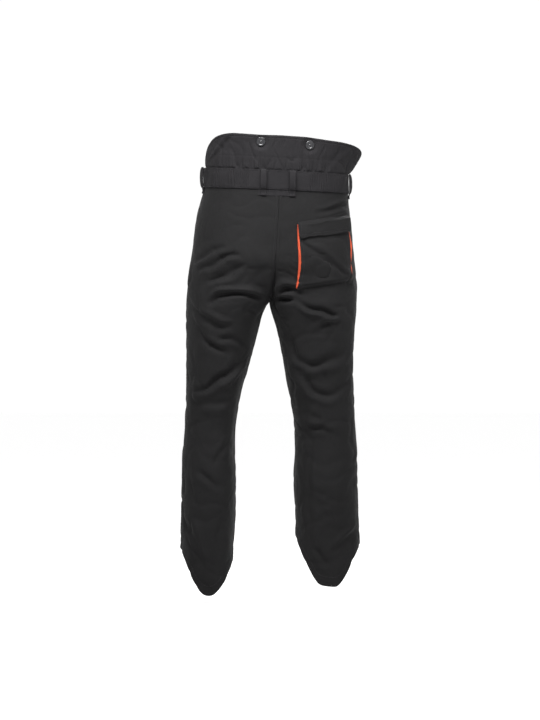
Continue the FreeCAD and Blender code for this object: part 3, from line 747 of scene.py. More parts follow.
def build_thread():
    for group, rows in SEWN.items():
        ends = np.array([row[0] for row in rows])
        up = np.array([row[1] for row in rows])
        way = unit(ends[:, 2] - ends[:, 0])
        across = unit(np.cross(way, up))
        points = stitch_rings(ends, across, np.cross(across, way))
        shift = (np.arange(len(rows)) * points.shape[1])[:, None, None]
        faces = []
        for kind in stitch_faces():
            faces += (kind[None] + shift).reshape(-1, kind.shape[1]).tolist()
        flat = points.reshape(-1, 3)
        thing = new_piece("stitches_" + group, flat, faces, flat[:, :2])
        thing.data.materials.append(THREAD)
        attach(thing, group)


def beside(side, u_seam, v, distance):
    """The column at a distance from a seam's column, towards higher u."""
    step = 0.006
    nearby = u_seam - step if u_seam > 0.5 else u_seam + step
    rate = np.linalg.norm(cloth_point(side, nearby, v) - cloth_point(side, u_seam, v), axis=-1) / step
    return u_seam + distance / rate


def sew_seam(side, u_seam, v, distance, height=0.55 * MM):
    """Stitch beside a seam, towards higher u, or towards lower u for a distance below 0."""
    columns = beside(side, u_seam, v, abs(distance))
    if distance < 0:
        columns = 2 * u_seam - columns
    sew(skin(side, columns, v, height), skin(side, columns, v, height + MM))


def sew_trousers():
    leg = np.linspace(-0.995, -0.005, 500)
    rise = np.linspace(0.03, v_of_height(-0.050), 260)
    flank = np.linspace(-0.995, v_of_height(-0.050), 700)
    for distance in (1.9, 6.9):
        sew_seam(1, 0.0, rise, distance * MM)
        for side in SIDES:
            sew_seam(side, 0.0, leg, distance * MM)
            sew_seam(side, 0.5, flank, -distance * MM)
    sew_seam(1, 1.0, np.linspace(0.03, 0.95, 80), -2.2 * MM, 0.1 * MM)
    for side in SIDES:
        columns = np.linspace(0.0, 1.0, 700)
        foot = cloth_point(side, columns, -1.0)
        up = np.linalg.norm(cloth_point(side, columns, -0.96) - foot, axis=-1) / 0.04
        rows = -1 + 0.0232 / up
        sew(skin(side, columns, rows, 0.35 * MM), skin(side, columns, rows, 1.4 * MM))
    a = np.linspace(-0.985, BAND_LEFT, 900)
    for depth in (2.4, 43.6):
        z = np.full_like(a, -depth * MM)
        face = BAND_FACE + 0.6 * MM * gathers(a, z) + 0.15 * MM
        sew_on(waist_strip, a, z, face)


# ---- linings, facings, pads ------------------------------------------------
PAD_LOW = -0.81
PAD_HIGH = 0.74
PAD_SIDES = (0.545, 0.955)
PAD_FACE = 3.2 * MM         # the pad's outer face, under the cloth
PAD_ROOM = 6.4 * MM         # how much deeper the lining lies over the pad
LINING_TOP = v_of_height(-0.048)
LINING_DEPTHS = (2.9 * MM, 3.8 * MM)


def pad_fullness(u, v):
    """1 where the lining lies over the pad, 0 where it lies against the cloth."""
    across = smooth((u - 0.505) / 0.035) * smooth((0.995 - u) / 0.035)
    return across * smooth((v + 0.93) / 0.12) * smooth((0.96 - v) / 0.16)


def build_linings():
    rows = np.linspace(-0.985, LINING_TOP, 240)
    for side, name in SIDES.items():
        columns = np.linspace(0.004, 0.496, 72)
        faces = [-depth for depth in LINING_DEPTHS]
        back = cloth_slab("lining_back_" + name, side, columns, rows, *faces)
        dress(back, LINING, "back_lining_" + name)
        columns = np.linspace(0.504, 0.996, 60)
        full = PAD_ROOM * pad_fullness(columns[:, None], rows[None, :])
        keep = outside_fly(side, columns, rows, 0.027, -0.205)
        faces = [-depth - full for depth in LINING_DEPTHS]
        front = cloth_slab("lining_front_" + name, side, columns, rows, *faces, keep)
        dress(front, LINING, "front_lining_" + name)


def build_hem_facings():
    for side, name in SIDES.items():
        columns = np.linspace(0.004, 0.996, 120)
        rows = np.linspace(-0.992, -0.94, 14)
        ring = cloth_slab("hem_turning_" + name, side, columns, rows, -4.1 * MM, -5.2 * MM)
        dress(ring, SHELL, "hem_facing_" + name)


def build_pads():
    for side, name in SIDES.items():
        columns = np.linspace(*PAD_SIDES, 84)
        rows = np.linspace(PAD_LOW, PAD_HIGH, 300)
        grid = cloth_point(side, columns[:, None], rows[None, :])
        across, along = arc_lengths(grid, 0), arc_lengths(grid, 1)
        side_gap = np.minimum(across, across[-1:] - across)
        end_gap = np.minimum(along, along[:, -1:] - along)
        loft = smooth(np.minimum(side_gap, end_gap) / 0.012)
        quilted = 0.35 * (bump_at(across % 0.05, 0.025, 0.003) + bump_at(along % 0.15, 0.075, 0.003))
        depth = lerp(0.8, 4.9 - np.clip(quilted, 0, 1) * 2.6, loft) * MM
        pad = cloth_slab("cut_pad_" + name, side, columns, rows, -PAD_FACE, -PAD_FACE - depth)
        dress(pad, PAD, "saw_pad_" + name)


# ---- waistband -------------------------------------------------------------
BAND_FACE = 2.4 * MM
OVERLAP_X = 0.0385
BAND_LEFT = float(column_at(OVERLAP_X + 0.0005, -0.020, True))
GATHER_STEP = 0.0052


def elastic_share(a):
    """1 where elastic gathers the waistband, 0 elsewhere."""
    size = np.abs(a)
    return smooth((size - 0.16) / 0.05) * smooth((0.50 - size) / 0.05)


def gathers(a, height):
    """Upright puckers that elastic leaves in cloth, uneven in spacing and in depth."""
    way = a * GIRTH + 0.0016 * np.sin(a * 61) + 0.0011 * np.sin(a * 143 + 1.3)
    way = way + 0.0009 * np.sin(height / 0.011 + a * 90)
    wave = np.sin(2 * np.pi * way / GATHER_STEP)
    uneven = 0.62 + 0.38 * np.sin(a * 77 + height / 0.019)
    return elastic_share(a) * wave * uneven


def waist_strip(a, z, offset):
    """Points round the waist at heights before the waist's tilt."""
    return around(a, v_of_height(z), offset)


# Millimetres down from the band's top.
BAND_ROWS = [0, 0.5, 1.4, 2.2, 3.0, 5, *range(8, 41, 4), 42.5, 43.2, 44, 45, 45.7, 46.0]


def build_waistband():
    a = np.linspace(-0.999, BAND_LEFT, 900)[:, None]
    depth = np.array(BAND_ROWS)
    z = (-depth * MM)[None, :]
    edge = np.minimum(depth, depth[-1] - depth)[None, :] * MM
    stitched = bump_at(edge, 2.4 * MM, 0.7 * MM)
    swell = 0.5 + 0.5 * smooth(edge / (12 * MM))
    slack = 0.5 * MM * np.sin(a * 27 + z * 60)
    face = BAND_FACE + 1.15 * MM * swell * gathers(a, z) + slack * smooth(edge / 0.01)
    face = face - 0.45 * MM * stitched - 0.9 * MM * (1 - rolled(edge, 1.3 * MM))
    pressed = press_to_buttons(waist_strip(a, z, face), BUTTONS[2:])
    outer = slab("waistband", pressed, waist_strip(a, z, 0.5 * MM))
    dress(outer, BAND, "waistband_outer")
    build_band_facing()
    for sign, name in SIDES.items():
        build_elastic(sign, name)


def puckered_strip(name, a, z, depth, low, high):
    """A strip inside the waistband, gathered with it, between two distances inwards."""
    pucker = depth * gathers(a, z)
    return slab(name, waist_strip(a, z, pucker - low), waist_strip(a, z, pucker - high))


def build_band_facing():
    a = np.linspace(-0.999, BAND_LEFT, 300)[:, None]
    z = np.linspace(-0.046, -0.0005, 9)[None, :]
    facing = puckered_strip("waistband_inside", a, z, 0.4 * MM, 1.8 * MM, 3.2 * MM)
    dress(facing, BAND, "waistband_facing")


def build_elastic(sign, name):
    a = sign * np.linspace(0.25, 0.456, 120)[:, None]
    z = np.linspace(-0.038, -0.004, 8)[None, :]
    strip = puckered_strip("elastic_" + name, a, z, 0.35 * MM, 0.4 * MM, 1.4 * MM)
    dress(strip, ELASTIC, "waist_elastic_" + name)


# ---- kidney panel ----------------------------------------------------------
KIDNEY_LEFT = 0.456
KIDNEY_RIGHT = 0.50
KIDNEY_PLACES = [0, 0.20, 0.34, 0.5, 0.66, 0.84, 1.0]
KIDNEY_LEVELS = [82.5, 83.5, 81.5, 82.5, 81.5, 74.5, 66]
KIDNEY_LOW = [-0.04, -0.02, 0.0, 0.015, 0.03, 0.045, 0.06, 0.08, 0.10]
KIDNEY_HIGH = [0.895, 0.91, 0.925, 0.94, 0.955, 0.972, 0.986, 0.994, 1.0]


def kidney_height(s):
    """Height of the panel's top edge above the waistband, with rounded ends."""
    corner = rolled(s, 0.22)
    far = rolled(1 - s, 0.16)
    level = np.interp(s, KIDNEY_PLACES, KIDNEY_LEVELS)
    return (level - 58.0 * (1 - corner) - 32.0 * (1 - far)) * MM


def kidney(s, t, offset):
    """s = 0 at the wearer's left end, 1 at the right end; t = 0 at the waistband."""
    s, t, offset = grids(s, t, offset)
    a = lerp(KIDNEY_LEFT, -KIDNEY_RIGHT, s)
    rise = 0.4 * MM + t * kidney_height(s)
    wing = 26.0 * smooth((s - 0.72) / 0.28) + 13.0 * smooth((s - 0.86) / 0.14)
    lean = 1.3 - 0.5 * smooth((s - 0.86) / 0.14)
    reach = 9.0 + wing - 14.0 * smooth((0.16 - s) / 0.16)
    flare = (np.maximum(rise, 0) / 0.080) ** lean * reach * MM
    base = around(a, 2.0, offset)
    outward = around(a, 2.0, offset + MM) - base
    outward[..., 2] = 0
    point = base + unit(outward) * flare[..., None]
    point[..., 2] += rise
    return point


def kidney_form(s, t):
    """How far the kidney panel's cloth stands out of its even thickness."""
    rise = t * kidney_height(s)
    a = lerp(KIDNEY_LEFT, -KIDNEY_RIGHT, s)
    way = a * GIRTH + 0.002 * np.sin(a * 41) + 0.0016 * np.sin(a * 87)
    pulled = smooth((np.abs(a) - 0.06) / 0.06) * lerp(1.0, 0.25, smooth((np.abs(a) - 0.24) / 0.1))
    low = pulled * np.exp(-rise / 0.016) * np.sin(2 * np.pi * way / 0.0115) * 1.3 * MM
    fan = pulled * np.exp(-rise / 0.045) * np.sin(2 * np.pi * way / 0.036 + 0.6) * 1.7 * MM
    fold = ((s - 0.105) * 1.7 - (t - 0.6) * 0.32) / 0.06
    corner = 2.4 * MM * (bump_at(fold, 0, 0.45) - 0.8 * bump_at(fold, 0.9, 0.5))
    corner = corner * smooth((t - 0.2) / 0.3)
    second = ((s - 0.86) * 1.5 - (t - 0.5) * 0.20) / 0.05
    far = 0.9 * MM * (bump_at(second, 0, 0.5) - 0.7 * bump_at(second, -1.0, 0.5))
    quilt_row = -0.55 * MM * bump_at(rise, 0.030, 0.0012)
    calm = 1.3 * MM * np.sin(s * 19 + t * 2.0) * np.sin(t * 3.0)
    place = np.stack(np.broadcast_arrays(s * 0.42, t * 0.10, 0 * s + 0 * t), -1)
    place = place + 0.010 * wandering(place, 0.08, (41, 42, 43))
    crumpled = -1.5 * MM * np.exp(-((ripple(place * [1.5, 0.7, 1], 0.05, 47) / 0.30) ** 2))
    return low + fan + corner + far + calm + quilt_row + crumpled * smooth((1 - t) / 0.25)


def build_kidney_panel():
    s = (1 - np.cos(np.pi * np.linspace(0, 1, 330)))[:, None] / 2
    s = lerp(s, np.linspace(0, 1, 330)[:, None], 0.75)
    t = np.concatenate([KIDNEY_LOW, np.linspace(0.12, 0.88, 40), KIDNEY_HIGH])[None, :]
    grid = kidney(s, t, 0.0)
    across, along = arc_lengths(grid, 0), arc_lengths(grid, 1)
    side_gap = np.minimum(across, across[-1:] - across)
    top_gap = along[:, -1:] - along
    edge = np.minimum(side_gap, top_gap)
    round_off = rolled(edge, 3.2 * MM)
    stitched = bump_at(edge, 7.0 * MM, 1.0 * MM)
    form = kidney_form(s, t) * lerp(0.35, 1.0, smooth(edge / 0.012))
    tucked = smooth((t * kidney_height(s) + 0.5 * MM) / (5.5 * MM))
    face = lerp(-2.0, 1.6, round_off) * MM - 1.0 * MM * stitched + form
    face = lerp(-0.3 * MM, face, tucked)
    back = lerp(-2.2, -6.0, round_off) * MM + 0.8 * MM * stitched + 0.7 * form
    back = lerp(-5.6 * MM, back, tucked)
    outer = kidney(s, t, face)
    pulled_in = press_to_buttons(outer, BUTTONS[:2])
    inner = kidney(s, t, back) + 0.8 * (pulled_in - outer)
    piece = slab("kidney_panel", pulled_in, inner, creased=False)
    dress(piece, BAND, "kidney_outer", "kidney_foam", "kidney_lining")
    sew_kidney_edge()


def sew_kidney_edge():
    """A row of stitches 7 mm inside the panel's two ends and its top."""
    end = 7.0 / 500
    top = 1 - 7.0 * MM / kidney_height(0.5)
    climb = np.linspace(0.05, top, 60)
    along = np.linspace(end, 1 - end, 300)
    s = np.concatenate([np.full(60, end), along, np.full(60, 1 - end)])
    t = np.concatenate([climb, np.full(300, top), climb[::-1]])
    sew_on(kidney, s, t, 0.75 * MM + kidney_form(s, t), rise=2.25 * MM)


def press_to_buttons(points, seats):
    """The cloth meets the foot of each button, and is drawn in a little round it."""
    points = points.copy()
    for seat, axis in seats:
        offset = points - seat
        height = offset @ axis
        gap = np.linalg.norm(offset - height[..., None] * axis, axis=-1)
        share = smooth((0.024 - gap) / 0.014) * (np.abs(height) < 0.02)
        points -= ((height + 0.3 * MM) * share)[..., None] * axis
    return points


# ---- brace buttons ---------------------------------------------------------
def button_places():
    """Middle and facing of each brace button, from its CAD solid."""
    found = []
    for name in BUTTON_NAMES:
        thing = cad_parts["brace_button_" + name]
        co = np.array([thing.matrix_world @ v.co for v in thing.data.vertices])
        middle = co.mean(0)
        _, _, axes = np.linalg.svd(co - middle, full_matrices=False)
        axis = axes[2] if axes[2] @ (middle * [1, 1, 0]) > 0 else -axes[2]
        low = ((co - middle) @ axis).min()
        found.append((middle + axis * low, axis))
    return found


BUTTON_SPREAD = 1.14        # the rolled rim is a little wider than the cap's blank
BUTTON_NAMES = [
    "back_left", "back_right",
    "front_left_outer", "front_left_inner", "front_right_inner", "front_right_outer",
]
BUTTONS = button_places()
BUTTON_PROFILE = [
    (0, 3.1), (0.5, 3.08), (1.0, 2.85), (1.35, 2.45), (1.5, 2.15), (2.1, 1.78), (3.2, 1.62),
    (4.4, 1.72), (5.4, 2.05), (6.2, 2.55), (6.9, 2.98), (7.6, 3.2), (8.3, 3.15), (8.9, 2.8),
    (9.3, 2.2), (9.45, 1.6), (9.3, 1.0), (8.8, 0.45), (8.0, 0.15), (5.0, 0.02), (0, 0.0),
]


def lathe(name, profile, spread, turns):
    """A closed form turned about its own z axis from (radius, height) in millimetres."""
    ring = np.array([r for r, _ in profile[1:-1]]) * MM * spread
    level = np.array([h for _, h in profile[1:-1]]) * MM
    angle = np.linspace(0, 2 * np.pi, turns, endpoint=False)
    x = ring[:, None] * np.cos(angle)
    y = ring[:, None] * np.sin(angle)
    z = np.broadcast_to(level[:, None], x.shape)
    tips = [(0, 0, profile[0][1] * MM), (0, 0, profile[-1][1] * MM)]
    points = np.concatenate([np.stack([x, y, z], -1).reshape(-1, 3), tips])
    faces = []
    for k in range(len(ring) - 1):
        for j in range(turns):
            n = (j + 1) % turns
            faces.append((k * turns + j, (k + 1) * turns + j, (k + 1) * turns + n, k * turns + n))
    top, foot = len(points) - 2, len(points) - 1
    last = (len(ring) - 1) * turns
    faces += [(top, j, (j + 1) % turns) for j in range(turns)]
    faces += [(foot, last + (j + 1) % turns, last + j) for j in range(turns)]
    return new_piece(name, points, faces, points[:, :2])


def build_buttons():
    for name, (seat, axis) in zip(BUTTON_NAMES, BUTTONS):
        cap = lathe("button_cap_" + name, BUTTON_PROFILE, BUTTON_SPREAD, 48)
        turn = Vector(axis).to_track_quat("Z", "Y")
        cap.data.transform(turn.to_matrix().to_4x4())
        cap.data.transform(Matrix.Translation(seat))
        dress(cap, BUTTON, "brace_button_" + name, body="button_" + name)


# ---- belt loops ------------------------------------------------------------
LOOP_WIDTH = 14.4 * MM
LOOP_COLUMNS = [0, 2.4, 4.2, 5.2, 6.2, 6.9, 7.2]
LOOP_TOP = 2.0 * MM
LOOP_BOTTOM = -60.0 * MM
SIDE_LOOP_COLUMN = 0.482     # just behind the side seam
LOOP_STANDS = {"back": 6.8 * MM, "side": 3.6 * MM, "front": 8.2 * MM}
LOOP_TURNS = {"back": 0.8 * MM, "side": 4.4 * MM, "front": 0.8 * MM}     # the leading edge stands out
LOOPS = {"back": [(0.031, False), (-0.036, False)], "front": [(0.076, True), (-0.076, True)]}


def loop_arch(height):
    """1 at the middle of a loop, 0 where it meets the band's edges."""
    return np.sqrt(np.clip(1 - ((height + 0.022) / 0.0245) ** 2, 0, 1))


def loop_turn(name, middle, height, across):
    """How far a loop's face leans out at a distance across it."""
    return LOOP_TURNS[name] * np.sign(middle) * loop_arch(height) * across / LOOP_WIDTH


def loop_offset(height, stand):
    """How far a loop's inner face stands off at each height."""
    seated = BAND_FACE + 0.3 * MM
    below = lerp(seated, 1.3 * MM, smooth((-BAND_HEIGHT - height) / 0.008))
    return np.where(height > -BAND_HEIGHT, seated + stand * loop_arch(height), below)


def loop_point(middle, stand, across, height, offset):
    """Points of a loop at a distance across it and at a height, off its inner face."""
    step = 0.004
    ends = waist_strip(np.array([middle - step, middle + step]), np.zeros(2), np.zeros(2))
    pace = np.linalg.norm(ends[1] - ends[0]) / (2 * step)
    clipped = np.minimum(0.0, height)
    point = waist_strip(middle + across / pace, clipped, loop_offset(height, stand) + offset)
    point[..., 2] += height - clipped
    return point


def build_loop(name, middle):
    """The outer and the inner grid of one loop."""
    across = np.array([-s for s in LOOP_COLUMNS[:0:-1]] + LOOP_COLUMNS)[:, None] * MM
    height = np.linspace(LOOP_BOTTOM, LOOP_TOP, 90)[None, :]
    edge = LOOP_WIDTH / 2 - np.abs(across)
    round_off = rolled(edge, 1.8 * MM)
    turn = loop_turn(name, middle, height, across)
    twist = 0.15 * MM * np.sin(height / 0.011 + middle * 40) * across / 0.0055 + turn
    groove = bump_at(edge, 2.9 * MM, 0.8 * MM)
    top = lerp(0.9, 2.6, round_off) * MM - 0.3 * MM * groove + twist
    foot = lerp(-0.5, 0.0, round_off) * MM + twist
    stand = LOOP_STANDS[name]
    return [loop_point(middle, stand, across, height, offset) for offset in (top, foot)]


def sew_loop(name, middle):
    """A row of stitches inside each edge of a loop, and a tack at each end."""
    def loop_line(across, height, offset):
        return loop_point(middle, LOOP_STANDS[name], across, height, offset)

    way = np.linspace(LOOP_BOTTOM + 0.001, LOOP_TOP - 0.001, 90)
    for inset in (-4.2 * MM, 4.2 * MM):
        lift = 2.45 * MM + loop_turn(name, middle, way, inset)
        sew_on(loop_line, inset, way, lift, rise=1.5 * MM, length=2.2 * MM, gap=0.7 * MM)
    spots = np.linspace(-6.0, 6.0, 15) * MM
    for level in (LOOP_BOTTOM + 2.4 * MM, LOOP_TOP - 3.4 * MM):
        tack(loop_line(spots, level, 2.4 * MM), loop_line(spots, level, 3.8 * MM))


def build_belt_loops():
    groups = {}
    for name, spots in LOOPS.items():
        groups[name] = [float(column_at(x, -0.020, front)) for x, front in spots]
    groups["side"] = [SIDE_LOOP_COLUMN, -SIDE_LOOP_COLUMN]
    for name, middles in groups.items():
        made = []
        for middle in middles:
            outer, inner = build_loop(name, middle)
            made.append(slab("belt_loop", outer, inner))
            sew_loop(name, middle)
        piece = joined(made, "loop_straps_" + name)
        dress(piece, BAND, "belt_loops_" + name)


def joined(things, name):
    """Several meshes as one object."""
    work = bmesh.new()
    for thing in things:
        work.from_mesh(thing.data)
    mesh = things[0].data
    work.to_mesh(mesh)
    work.free()
    mesh.polygons.foreach_set("use_smooth", [True] * len(mesh.polygons))
    for thing in things[1:]:
        bpy.data.objects.remove(thing)
    things[0].name = name
    mesh.name = name
    return things[0]


def build_base_strip():
    ends = column_at(np.array([-0.045, 0.045]), -0.053, False)
    a = np.linspace(ends[0], ends[1], 120)[:, None]
    z = [-61.0, -60.6, -60.0, *np.linspace(-59, -48.6, 12), -47.6, -47.0, -46.6]
    z = np.array(z)[None, :] * MM
    edge = np.minimum(z + 0.061, -0.0466 - z)
    face = lerp(0.5, 1.25, smooth(edge / 0.0012)) * MM + 0.15 * MM * np.sin(a * 160)
    strip = slab("loop_foot_strip", waist_strip(a, z, face), waist_strip(a, z, 0.25 * MM))
    dress(strip, BAND, "loop_base_strip")
    way = np.linspace(ends[0] + 0.002, ends[1] - 0.002, 90)
    for level in (-0.0588, -0.0490):
        sew_on(waist_strip, way, level, 1.3 * MM, rise=1.7 * MM)


# ---- fly -------------------------------------------------------------------
COVER_EDGE = 0.038          # x of the cover's sewn edge
COVER_WIDTH = 0.052
FLY_MATRIX = Matrix.Translation((0, -FLY_Y, 0)) @ Matrix.Rotation(-math.atan(FLY_SLOPE), 4, "X")


def cover_foot(x):
    """Height of the fly cover's curved lower edge."""
    beyond = np.clip((x / MM - 8.0) / 31.0, 0, None)
    return (-150.0 - 45.0 * np.sqrt(np.clip(1 - beyond**2, 0, 1))) * MM


def cover_rise(share):
    """How far the fly cover stands off the cloth, from its sewn edge to its free edge."""
    return 0.3 * MM + 5.3 * MM * smooth(share / 0.3)


def overlap_point(x, z, offset):
    column = column_at(np.where(np.abs(x) > 0.00001, x, 0.00001), z, True)
    return around(column, v_of_height(z), offset)


def rounded_ends(share, length, radius):
    """How much of a corner's radius is cut away along a share of an edge."""
    gap = np.minimum(share, 1 - share) * length
    return radius - np.sqrt(np.clip(radius**2 - np.clip(radius - gap, 0, radius) ** 2, 0, None))


def build_fly_cover():
    s = np.linspace(0, 1, 90)[:, None]
    t = [0, 0.003, 0.008, *np.linspace(0.014, 0.986, 110), 0.992, 0.997, 1.0]
    t = np.array(t)[None, :]
    x = COVER_EDGE - COVER_WIDTH * s
    low = cover_foot(x)
    z = lerp(low, -0.0485, t)
    rise = cover_rise(s)
    edge = np.minimum(s, 1 - s) * COVER_WIDTH + 0 * t
    edge = np.minimum(edge, t * (z[:, -1:] - low))
    soft = 0.8 * MM * np.sin(z * 46 + x * 40) * smooth(edge / 0.02)
    groove = 0.35 * MM * bump_at(edge, 2.4 * MM, 0.8 * MM)
    face = rise + lerp(0.9, 1.7, smooth(edge / 0.0015)) * MM + soft - groove
    cover = slab("fly_cover_cloth", overlap_point(x, z, face), overlap_point(x, z, rise + soft))
    dress(cover, SHELL, "fly_cover", body="fly_overlap")
    way = np.linspace(-0.052, -0.186, 160)
    sew_cover(np.full(way.shape, -0.0112), way)
    curve = lerp(-0.010, 0.034, np.linspace(0.0, 1.0, 60))
    sew_cover(curve, cover_foot(curve) + 0.0032)


def sew_cover(x, z):
    level = cover_rise((COVER_EDGE - x) / COVER_WIDTH) + 1.65 * MM
    sew_on(overlap_point, x, z, level, group="fly_overlap")


def build_waist_tab():
    s = [0, 0.01, 0.025, *np.linspace(0.05, 0.95, 60), 0.975, 0.99, 1.0]
    s = np.array(s)[:, None]
    t = [0, 0.012, 0.03, *np.linspace(0.06, 0.94, 30), 0.97, 0.988, 1.0]
    t = np.array(t)[None, :]
    x = lerp(0.036, -0.026, s)
    trim = rounded_ends(s, 0.062, 0.009) * smooth((s - 0.5) / 0.1)
    z = lerp(-0.0455 + trim, -0.0005 - trim, t)
    edge = np.minimum(np.minimum(s, 1 - s) * 0.062, np.minimum(t, 1 - t) * 0.045)
    round_off = rolled(edge, 1.2 * MM)
    face = (3.9 + 1.1 * round_off) * MM - 0.4 * MM * bump_at(edge, 2.6 * MM, 0.8 * MM)
    middle_x, middle_z = (x[1:] + x[:-1]) / 2, (z[1:, 1:] + z[:-1, :-1]) / 2
    keep = np.hypot(middle_x + 0.009, middle_z + 0.023) > 0.0064
    under = (3.9 - 0.9 * round_off) * MM
    tab = slab("waist_tab_cloth", overlap_point(x, z, face), overlap_point(x, z, under), keep)
    dress(tab, BAND, "waist_tab", body="fly_overlap")
    way = np.linspace(0.033, -0.022, 60)
    for level in (-0.0032, -0.0428):
        sew_on(overlap_point, way, level, 5.05 * MM, rise=1.45 * MM, group="fly_overlap")


def fly_strip(name, x, down, out):
    """A flat woven strip at the fly: ranges of x, distance down and distance out."""
    columns, rows = np.linspace(*x, 14), np.linspace(*down, 90)
    wave = 0.12 * np.sin(rows / 4.0)
    faces = []
    for level in out[::-1]:
        grid = np.stack(grids(columns[:, None], -(level + wave), -rows), -1) * MM
        faces.append(grid @ np.array(FLY_MATRIX.to_3x3()).T + np.array(FLY_MATRIX.translation))
    return slab(name, *faces)


def build_fly_inside():
    for side, name in SIDES.items():
        x = (3.3, 15.0) if side > 0 else (-15.0, -3.3)
        tape = fly_strip("zip_cloth_" + name, x, (47.6, 198.0), (-2.95, -2.25))
        dress(tape, ZIP_TAPE, "zip_tape_" + name)
    shield = fly_strip("fly_shield_cloth", (-25.0, 23.0), (50.0, 200.0), (-6.35, -5.65))
    dress(shield, SHELL, "fly_shield")


# ---- back pocket -----------------------------------------------------------
POCKET_INNER = 0.128
POCKET_INNER_FOOT = 0.171
POCKET_OUTER = 0.409
POCKET_FOOT = (-0.276, -0.256)       # z of the pocket's two lower corners
POCKET_WIDTH = 0.153
POCKET_HEIGHT = 0.137
POCKET_DEPTH = 9.0 * MM
FOOT_LOW = -0.0045           # where the front is sewn down
FOOT_RUN = 0.011
MOUTH_SHARE = 0.62
FLAP_TOP = 0.155
FLAP_WIDTH = 0.164
FLAP_HEIGHT = 0.042
FLAP_END = 1.035
FLAP_STAND = 9.6 * MM
FLAP_RUN = 0.0095
FLAP_START = -0.004          # the flap's end by the seat seam, as a share of the pocket's width
FLAP_RISE = 0.008            # how much higher its seam sits by the side seam
SIDE_BULGE = 5.0 * MM        # how far the bellows fold swells out by the side seam


def pocket(s, height, offset):
    """Points over the pocket: s = 0 by the seat seam, 1 by the side seam; height above its foot."""
    s, height, offset = grids(s, height, offset)
    u = lerp(lerp(POCKET_INNER_FOOT, POCKET_INNER, height / FLAP_TOP), POCKET_OUTER, s)
    z = lerp(*POCKET_FOOT, s) + height
    return skin(-1, u, row_through(u, z), offset)


def pocket_stand(height):
    """The front's distance from the trousers; below the foot it turns in to the cloth."""
    t = np.minimum(height / POCKET_HEIGHT, 1)
    stand = POCKET_DEPTH * lerp(MOUTH_SHARE, 1.0, smooth((1 - t) / 0.7))
    turned = lerp(0.9 * MM, stand, smooth((height - FOOT_LOW) / FOOT_RUN) ** 0.7)
    return np.where(height < FOOT_LOW + FOOT_RUN, turned, stand)


def pocket_slack(s, height):
    """Wrinkles and sag of the pocket's front, fading out at its mouth."""
    line = (height - lerp(0.108, 0.004, (s - 0.05) / 0.85)) / 0.012 + 0.35 * np.sin(s * 9)
    folds = -1.9 * bump_at(line, 0, 0.62) + 1.7 * bump_at(line, 1.15, 0.8)
    folds = folds + 0.9 * bump_at(line, -1.4, 0.9)
    second = (height - lerp(0.050, 0.020, s)) / 0.010
    folds = folds + 0.8 * bump_at(second, 0, 0.9) * smooth((0.5 - s) / 0.3)
    up = np.clip(height / POCKET_HEIGHT, 0, 1)
    belly = 1.6 * np.sin(np.pi * np.clip(s, 0, 1)) * np.sin(np.pi * up)
    fade = smooth((0.112 - height) / 0.02) * smooth((height - FOOT_LOW - FOOT_RUN) / 0.012)
    side_fade = smooth(s / 0.04) * smooth((1 - s) / 0.04)
    return (1.6 * folds * side_fade + belly) * fade * MM


def build_pocket():
    s = spaced(POCKET_WIDTH, [0, 0.4, 1.0, 2.0, 3.2, 4.5, 6, 8, 10], 0.0022)[:, None]
    turn = FOOT_LOW + np.linspace(0, FOOT_RUN, 12)
    height = [*turn, *np.linspace(turn[-1] + 0.0012, 0.134, 76), 0.1355, 0.1365, POCKET_HEIGHT]
    height = np.array(height)[None, :]
    edge = np.minimum(s, 1 - s) * POCKET_WIDTH + 0 * height
    round_off = rolled(edge, 1.2 * MM)
    groove = bump_at(edge, 2.6 * MM, 0.8 * MM) + bump_at(edge, 8.0 * MM, 0.8 * MM)
    inner = pocket_stand(height) + pocket_slack(s, height)
    face = inner + lerp(0.6, 1.5, round_off) * MM - 0.35 * MM * groove
    front = slab("pocket_front", pocket(s, height, face), pocket(s, height, inner))
    dress(front, SHELL, "back_pocket_front")
    climb = np.linspace(FOOT_LOW + 0.0065, 0.132, 120)
    for inset in (2.6 * MM, 8.0 * MM):
        share = inset / POCKET_WIDTH
        for column in (share, 1 - share):
            level = pocket_stand(climb) + pocket_slack(column, climb) + 1.35 * MM
            sew_on(pocket, column, climb, level)
    low = FOOT_LOW + 0.004
    sew_on(pocket, np.linspace(0.01, 0.99, 120), low, pocket_stand(low) + 1.6 * MM)


def gusset_side(edge, sign):
    """The bellows at one side of the pocket: share = 0 on the trousers, 1 at the front."""
    share = np.linspace(0, 1, 22)[:, None]
    height = np.linspace(FOOT_LOW + 0.0045, 0.149, 100)[None, :]
    fullness = np.sin(np.pi * np.clip(height / POCKET_HEIGHT * 0.80 + 0.16, 0, 1)) ** 0.6
    spread = {1: 0.010 + 0.036 * fullness, -1: 0.014 + 0.052 * fullness}[sign]
    reach = lerp(spread, 0.004, share) * sign
    arch = np.sin(np.pi * share)
    fold = arch * (0.0012 + 0.0009 * np.sin(height / 0.013))
    slack = 0.5 * MM * np.sin(height / 0.0045 + share * 5) * arch
    level = lerp(0.4 * MM, pocket_stand(height) - 0.4 * MM, share) + slack
    if sign < 0:
        level = level + SIDE_BULGE * arch * bump_at(height, 0.074, 0.030)
    column = edge - reach - fold * sign / POCKET_WIDTH * 0.6
    outer = pocket(column, height, level + 0.9 * MM * (1 - share * 0.6))
    return slab("gusset", outer, pocket(column + 0.005 * sign, height, level))


def gusset_foot():
    s = np.linspace(0.02, 0.98, 60)[:, None]
    share = np.linspace(0, 1, 10)[None, :]
    height = lerp(FOOT_LOW + 0.0043, FOOT_LOW + 0.0107, share)
    level = lerp(0.4 * MM, POCKET_DEPTH * 0.93, share)
    return slab("gusset", pocket(s, height, level), pocket(s, height + 0.0009, level))


